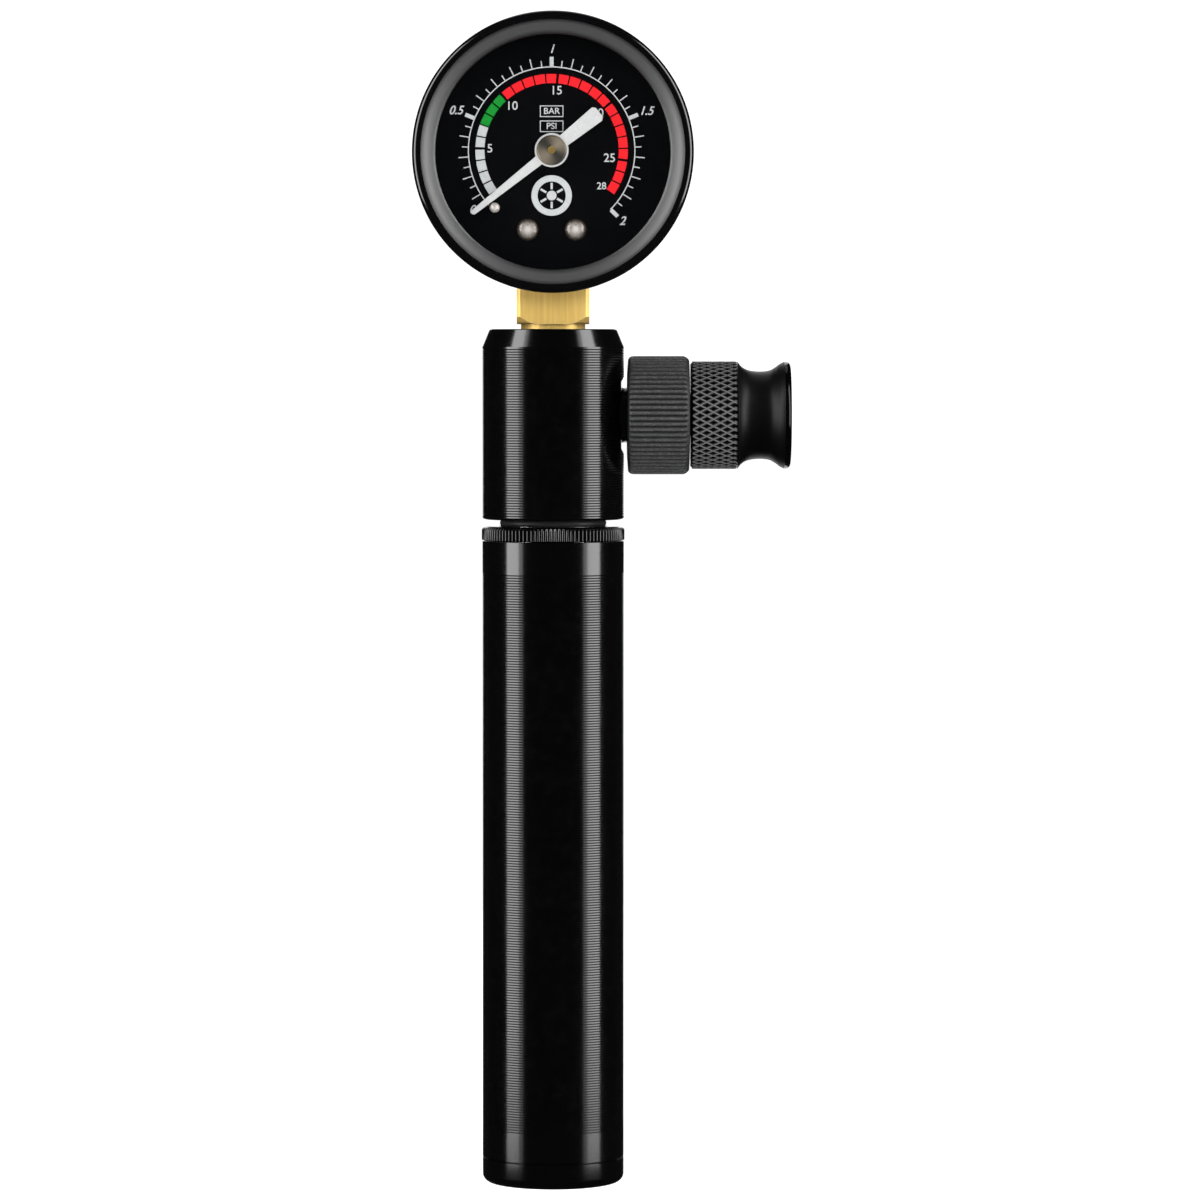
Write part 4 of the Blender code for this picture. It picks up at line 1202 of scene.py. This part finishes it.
# %% Hub
hub_low, hub_high = limits("pointer_hub")
hub_r = (hub_high.x - hub_low.x) / 2
hub_foot, hub_face = -hub_high.y, -hub_low.y
hub_outline = [(0.55, hub_foot - 0.2), (hub_r + 0.1, hub_foot - 0.1), (hub_r + 0.1, hub_face - 0.32)]
hub_outline += [(hub_r, hub_face - 0.22), (hub_r - 0.12, hub_face - 0.3), (hub_r - 0.3, hub_face - 0.22)]
hub_outline += [(1.1, hub_face - 0.1), (0.9, hub_face), (0.62, hub_face), (0.55, hub_face - 0.1)]
hub = turned("turned_hub", hub_outline, sides=96, place=AT_HUB)


def spun_nickel(name):
    """Dark nickel faced on a lathe: fine rings as a bump, and a painted sheen, lighter colour in lobes that run
    out from the centre.
    """
    colour = (0.045, 0.042, 0.035)
    material = new_finish(name, colour, 0.34, 0.5)
    rings = add_node(material, "ShaderNodeTexWave", Scale=3500.0, Distortion=1.5, Detail=3.0)
    rings.wave_type = "RINGS"
    rings.rings_direction = "Z"
    join(material, own_place(material), rings.inputs["Vector"])
    bump(material, rings.outputs["Fac"], 0.2, 0.000008)
    # Lighter colour in two lobes around the axis is a painted sheen, standing in for the conical highlights of a
    # turned face.
    around = add_node(material, "ShaderNodeTexGradient")
    around.gradient_type = "RADIAL"
    join(material, own_place(material), around.inputs["Vector"])
    lobes = calculate(material, "MULTIPLY", around.outputs["Fac"], 2 * math.tau)
    wave = calculate(material, "SINE", lobes)
    painted_sheen = spread(material, wave, 0.0, 1.0, -1.0, 1.0)
    vary_colour(material, painted_sheen, colour, (0.25, 0.21, 0.155))
    vary_roughness(material, noise(material, 1400.0, 4.0), 0.26, 0.44)
    return material


fit(hub, "needle", "dark_nickel", spun_nickel("spun_dark_nickel"), "pointer_hub")

# %% [markdown]
# ## Pieces inside
#
# The movement, the piston and the small seals are hidden, but the handle slides and shows the rod's
# side of the barrel, and someone may open the model up. They keep their CAD shapes, and each takes
# the finish of its slot, built with the same helpers as the rest. The valve's spring is wound again
# as a curve with a round bevel.

# %% Valve spring
wire_low, wire_high = limits("valve_spring")
WIRE_R = 0.25
COIL_R = wire_high.x - WIRE_R
TURNS = 5
POINTS_PER_TURN = 24
coil_line = bpy.data.curves.new("coil_line", "CURVE")
coil_line.dimensions = "3D"
coil_line.bevel_depth = WIRE_R * MM
coil_line.bevel_resolution = 3
coil_line.use_fill_caps = True
spring_length = wire_high.z - wire_low.z
coil = coil_line.splines.new("POLY")
coil.points.add(TURNS * POINTS_PER_TURN)
for i, point in enumerate(coil.points):
    at = polar(COIL_R, 360 * i / POINTS_PER_TURN)
    height = wire_low.z + WIRE_R + (spring_length - 2 * WIRE_R) * i / (TURNS * POINTS_PER_TURN)
    point.co = (at.x * MM, at.y * MM, height * MM, 1.0)
drawn = add_object("coil_line", coil_line)
spring = add_object("wound_valve_spring", shown_mesh(drawn))
bpy.data.objects.remove(drawn)
spring.data.shade_smooth()
fit(spring, "head", "steel", ground_steel, "valve_spring")
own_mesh(spring)

# %% Finishes for the pieces that stay
slot_finish = {
    "black_anodised": black_anodised,
    "brass": turned_brass,
    "steel": ground_steel,
    "rubber": rubber,
    "nickel": bright_nickel,
    "white_plastic": painted("white_plastic", (0.7, 0.7, 0.68), 0.5),
}
slots = {row["node"]: row["material_slot"] for row in frame["record"]["subparts"]}
kept = [name for name, node in frame["nodes"].items() if not node.hide_render]
for name in kept:
    mesh = frame["nodes"][name].data
    mesh.materials.clear()
    mesh.materials.append(slot_finish[slots[name]])
print(len(kept), "CAD pieces keep their shapes:", ", ".join(sorted(kept)))

# %% [markdown]
# ## Floor and light
#
# A catalogue picture of a black glossy thing is mostly a picture of its lights. Two tall soft boxes
# stand at the sides, a little behind the camera's line to the pump, and each draws a bright band
# down the round parts. A narrow, dim box beside each one softens the band's inner edge. A box behind
# and a small panel above do the same for the back and the top. Between the bands the pump mirrors
# the dark front of the room. Two round panels light print and paint, and aren't mirrored. The floor is
# pale, and it isn't mirrored by the pump, which would grey the black from below. It lies below the
# foot by the length of a stroke, so that the handle has room to slide down.

# %% Floor
def flat_square(name, size, z):
    bm = bmesh.new()
    bmesh.ops.create_grid(bm, x_segments=1, y_segments=1, size=size / 2)
    mesh = bpy.data.meshes.new(name)
    bm.to_mesh(mesh)
    bm.free()
    return add_object(name, mesh, Matrix.Translation((0, 0, z)))


STROKE = 75.0
ROOM_BELOW = 2.0
floor = flat_square("pale_floor", 30.0, cad_low.z - STROKE * MM - ROOM_BELOW * MM)
floor_paint = new_finish("pale_floor_paint", (0.5, 0.5, 0.5), 0.9, 0.0)
shader_input(floor_paint, "Emission Color").default_value = (1, 1, 1, 1)
# The floor glows: its emission is painted light, from 0.8 within 5 cm of the pump's axis up to 1.05 from half a
# metre out, so that far off it is as white as the backdrop.
glow = spread(floor_paint, from_axis(floor_paint), 0.8, 1.05, 0.05, 0.5)
join(floor_paint, glow, shader_input(floor_paint, "Emission Strength"))
floor.data.materials.append(floor_paint)
floor.visible_glossy = False
floor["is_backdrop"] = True
print("the floor lies at", round(floor.location.z * 1000, 2), "mm")

# %% Soft boxes
TARGET = Vector((0, 0, 0.09))


def add_lamp(name, shape, size, power, location, target):
    """A broad lamp that faces a point."""
    light = bpy.data.lights.new(name, "AREA")
    light.shape = shape
    light.size = size
    light.energy = power
    lamp = add_object(name, light)
    lamp.location = location
    lamp.rotation_euler = (target - lamp.location).to_track_quat("-Z", "Y").to_euler()
    lamp.visible_camera = False
    return lamp


def soft_box(name, azimuth, wide, tall, power, z):
    """A tall lamp standing at an azimuth from the camera's side, turned toward the pump."""
    a = math.radians(azimuth)
    location = Vector((BOX_DISTANCE * math.sin(a), -BOX_DISTANCE * math.cos(a), z))
    lamp = add_lamp(name, "RECTANGLE", wide, power, location, Vector((TARGET.x, TARGET.y, z)))
    lamp.data.size_y = tall


def fill_panel(name, location, power, mirrored=False):
    """A lamp for paint and print, which glossy surfaces mirror only where that is asked for."""
    lamp = add_lamp(name, "DISK", PANEL_SIZE, power, Vector(location), TARGET)
    lamp.visible_glossy = mirrored


BOX_DISTANCE = 0.8
BOX_TALL = 1.2
BOX_Z = 0.505
PANEL_SIZE = 0.6
soft_box("left_soft_box", -69.0, 0.327, BOX_TALL, 7.0, BOX_Z)
soft_box("left_soft_edge", -54.0, 0.11, BOX_TALL, 0.8, BOX_Z)
soft_box("right_soft_box", 69.5, 0.34, BOX_TALL, 7.3, BOX_Z)
soft_box("right_soft_edge", 54.0, 0.11, BOX_TALL, 0.8, BOX_Z)
soft_box("rear_soft_box", 180.0, 0.4, 1.4, 2.8, 0.1)
fill_panel("front_fill", (0.1, -1.2, 0.5), 15.5)
fill_panel("rear_fill", (-0.1, 1.2, 0.5), 8.0)
fill_panel("top_panel", (0.0, 0.5, 1.0), 0.5, mirrored=True)

# %% [markdown]
# The room itself is white to the camera, so that floor and background meet without a line, and
# nearly dark to everything else. The Light Path node tells the world which of the two is asking.

# %% World
world = bpy.data.worlds.new("studio")
world.use_nodes = True
tree = world.node_tree
background = tree.nodes["Background"]
light_path = tree.nodes.new("ShaderNodeLightPath")
level = tree.nodes.new("ShaderNodeMapRange")
ROOM_LEVEL, BACKDROP_LEVEL = 0.014, 1.2
level.inputs["To Min"].default_value = ROOM_LEVEL
level.inputs["To Max"].default_value = BACKDROP_LEVEL
tree.links.new(light_path.outputs["Is Camera Ray"], level.inputs["Value"])
tree.links.new(level.outputs["Result"], background.inputs["Strength"])
background.inputs["Color"].default_value = (1, 1, 1, 1)
bpy.context.scene.world = world
bpy.context.scene.view_settings.view_transform = "Standard"
print("room level", ROOM_LEVEL, "backdrop level", BACKDROP_LEVEL)

# %% [markdown]
# ## Camera
#
# A long lens from nearly a metre keeps the tube's sides parallel, and standing a little above the
# middle shows the foot of the pump as a shallow curve. The frame is shifted a little sideways, so that
# the pump stands left of the middle and leaves room for its outlet without turning its dial away.

# %% Camera
camera_data = bpy.data.cameras.new("product_camera")
camera_data.lens = 183.3
camera_data.sensor_width = 36.0
camera_data.shift_x = 0.0256
camera = add_object("product_camera", camera_data)
camera.location = (0.0025, -0.946, 0.1289)
TILT_DOWN = 2.323
camera.rotation_euler = (math.radians(90 - TILT_DOWN), 0, 0)
bpy.context.scene.camera = camera
print("camera at", [round(v, 3) for v in camera.location])

# %% [markdown]
# ## Last measure
#
# The new surfaces should stay inside the CAD model's box. The box of the shown pieces is measured
# again, and how much it grew over the CAD box is printed.

# %% Finish
low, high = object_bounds()
print("grew by", [round(1000 * v, 2) for v in (high - low) - (cad_high - cad_low)], "mm")
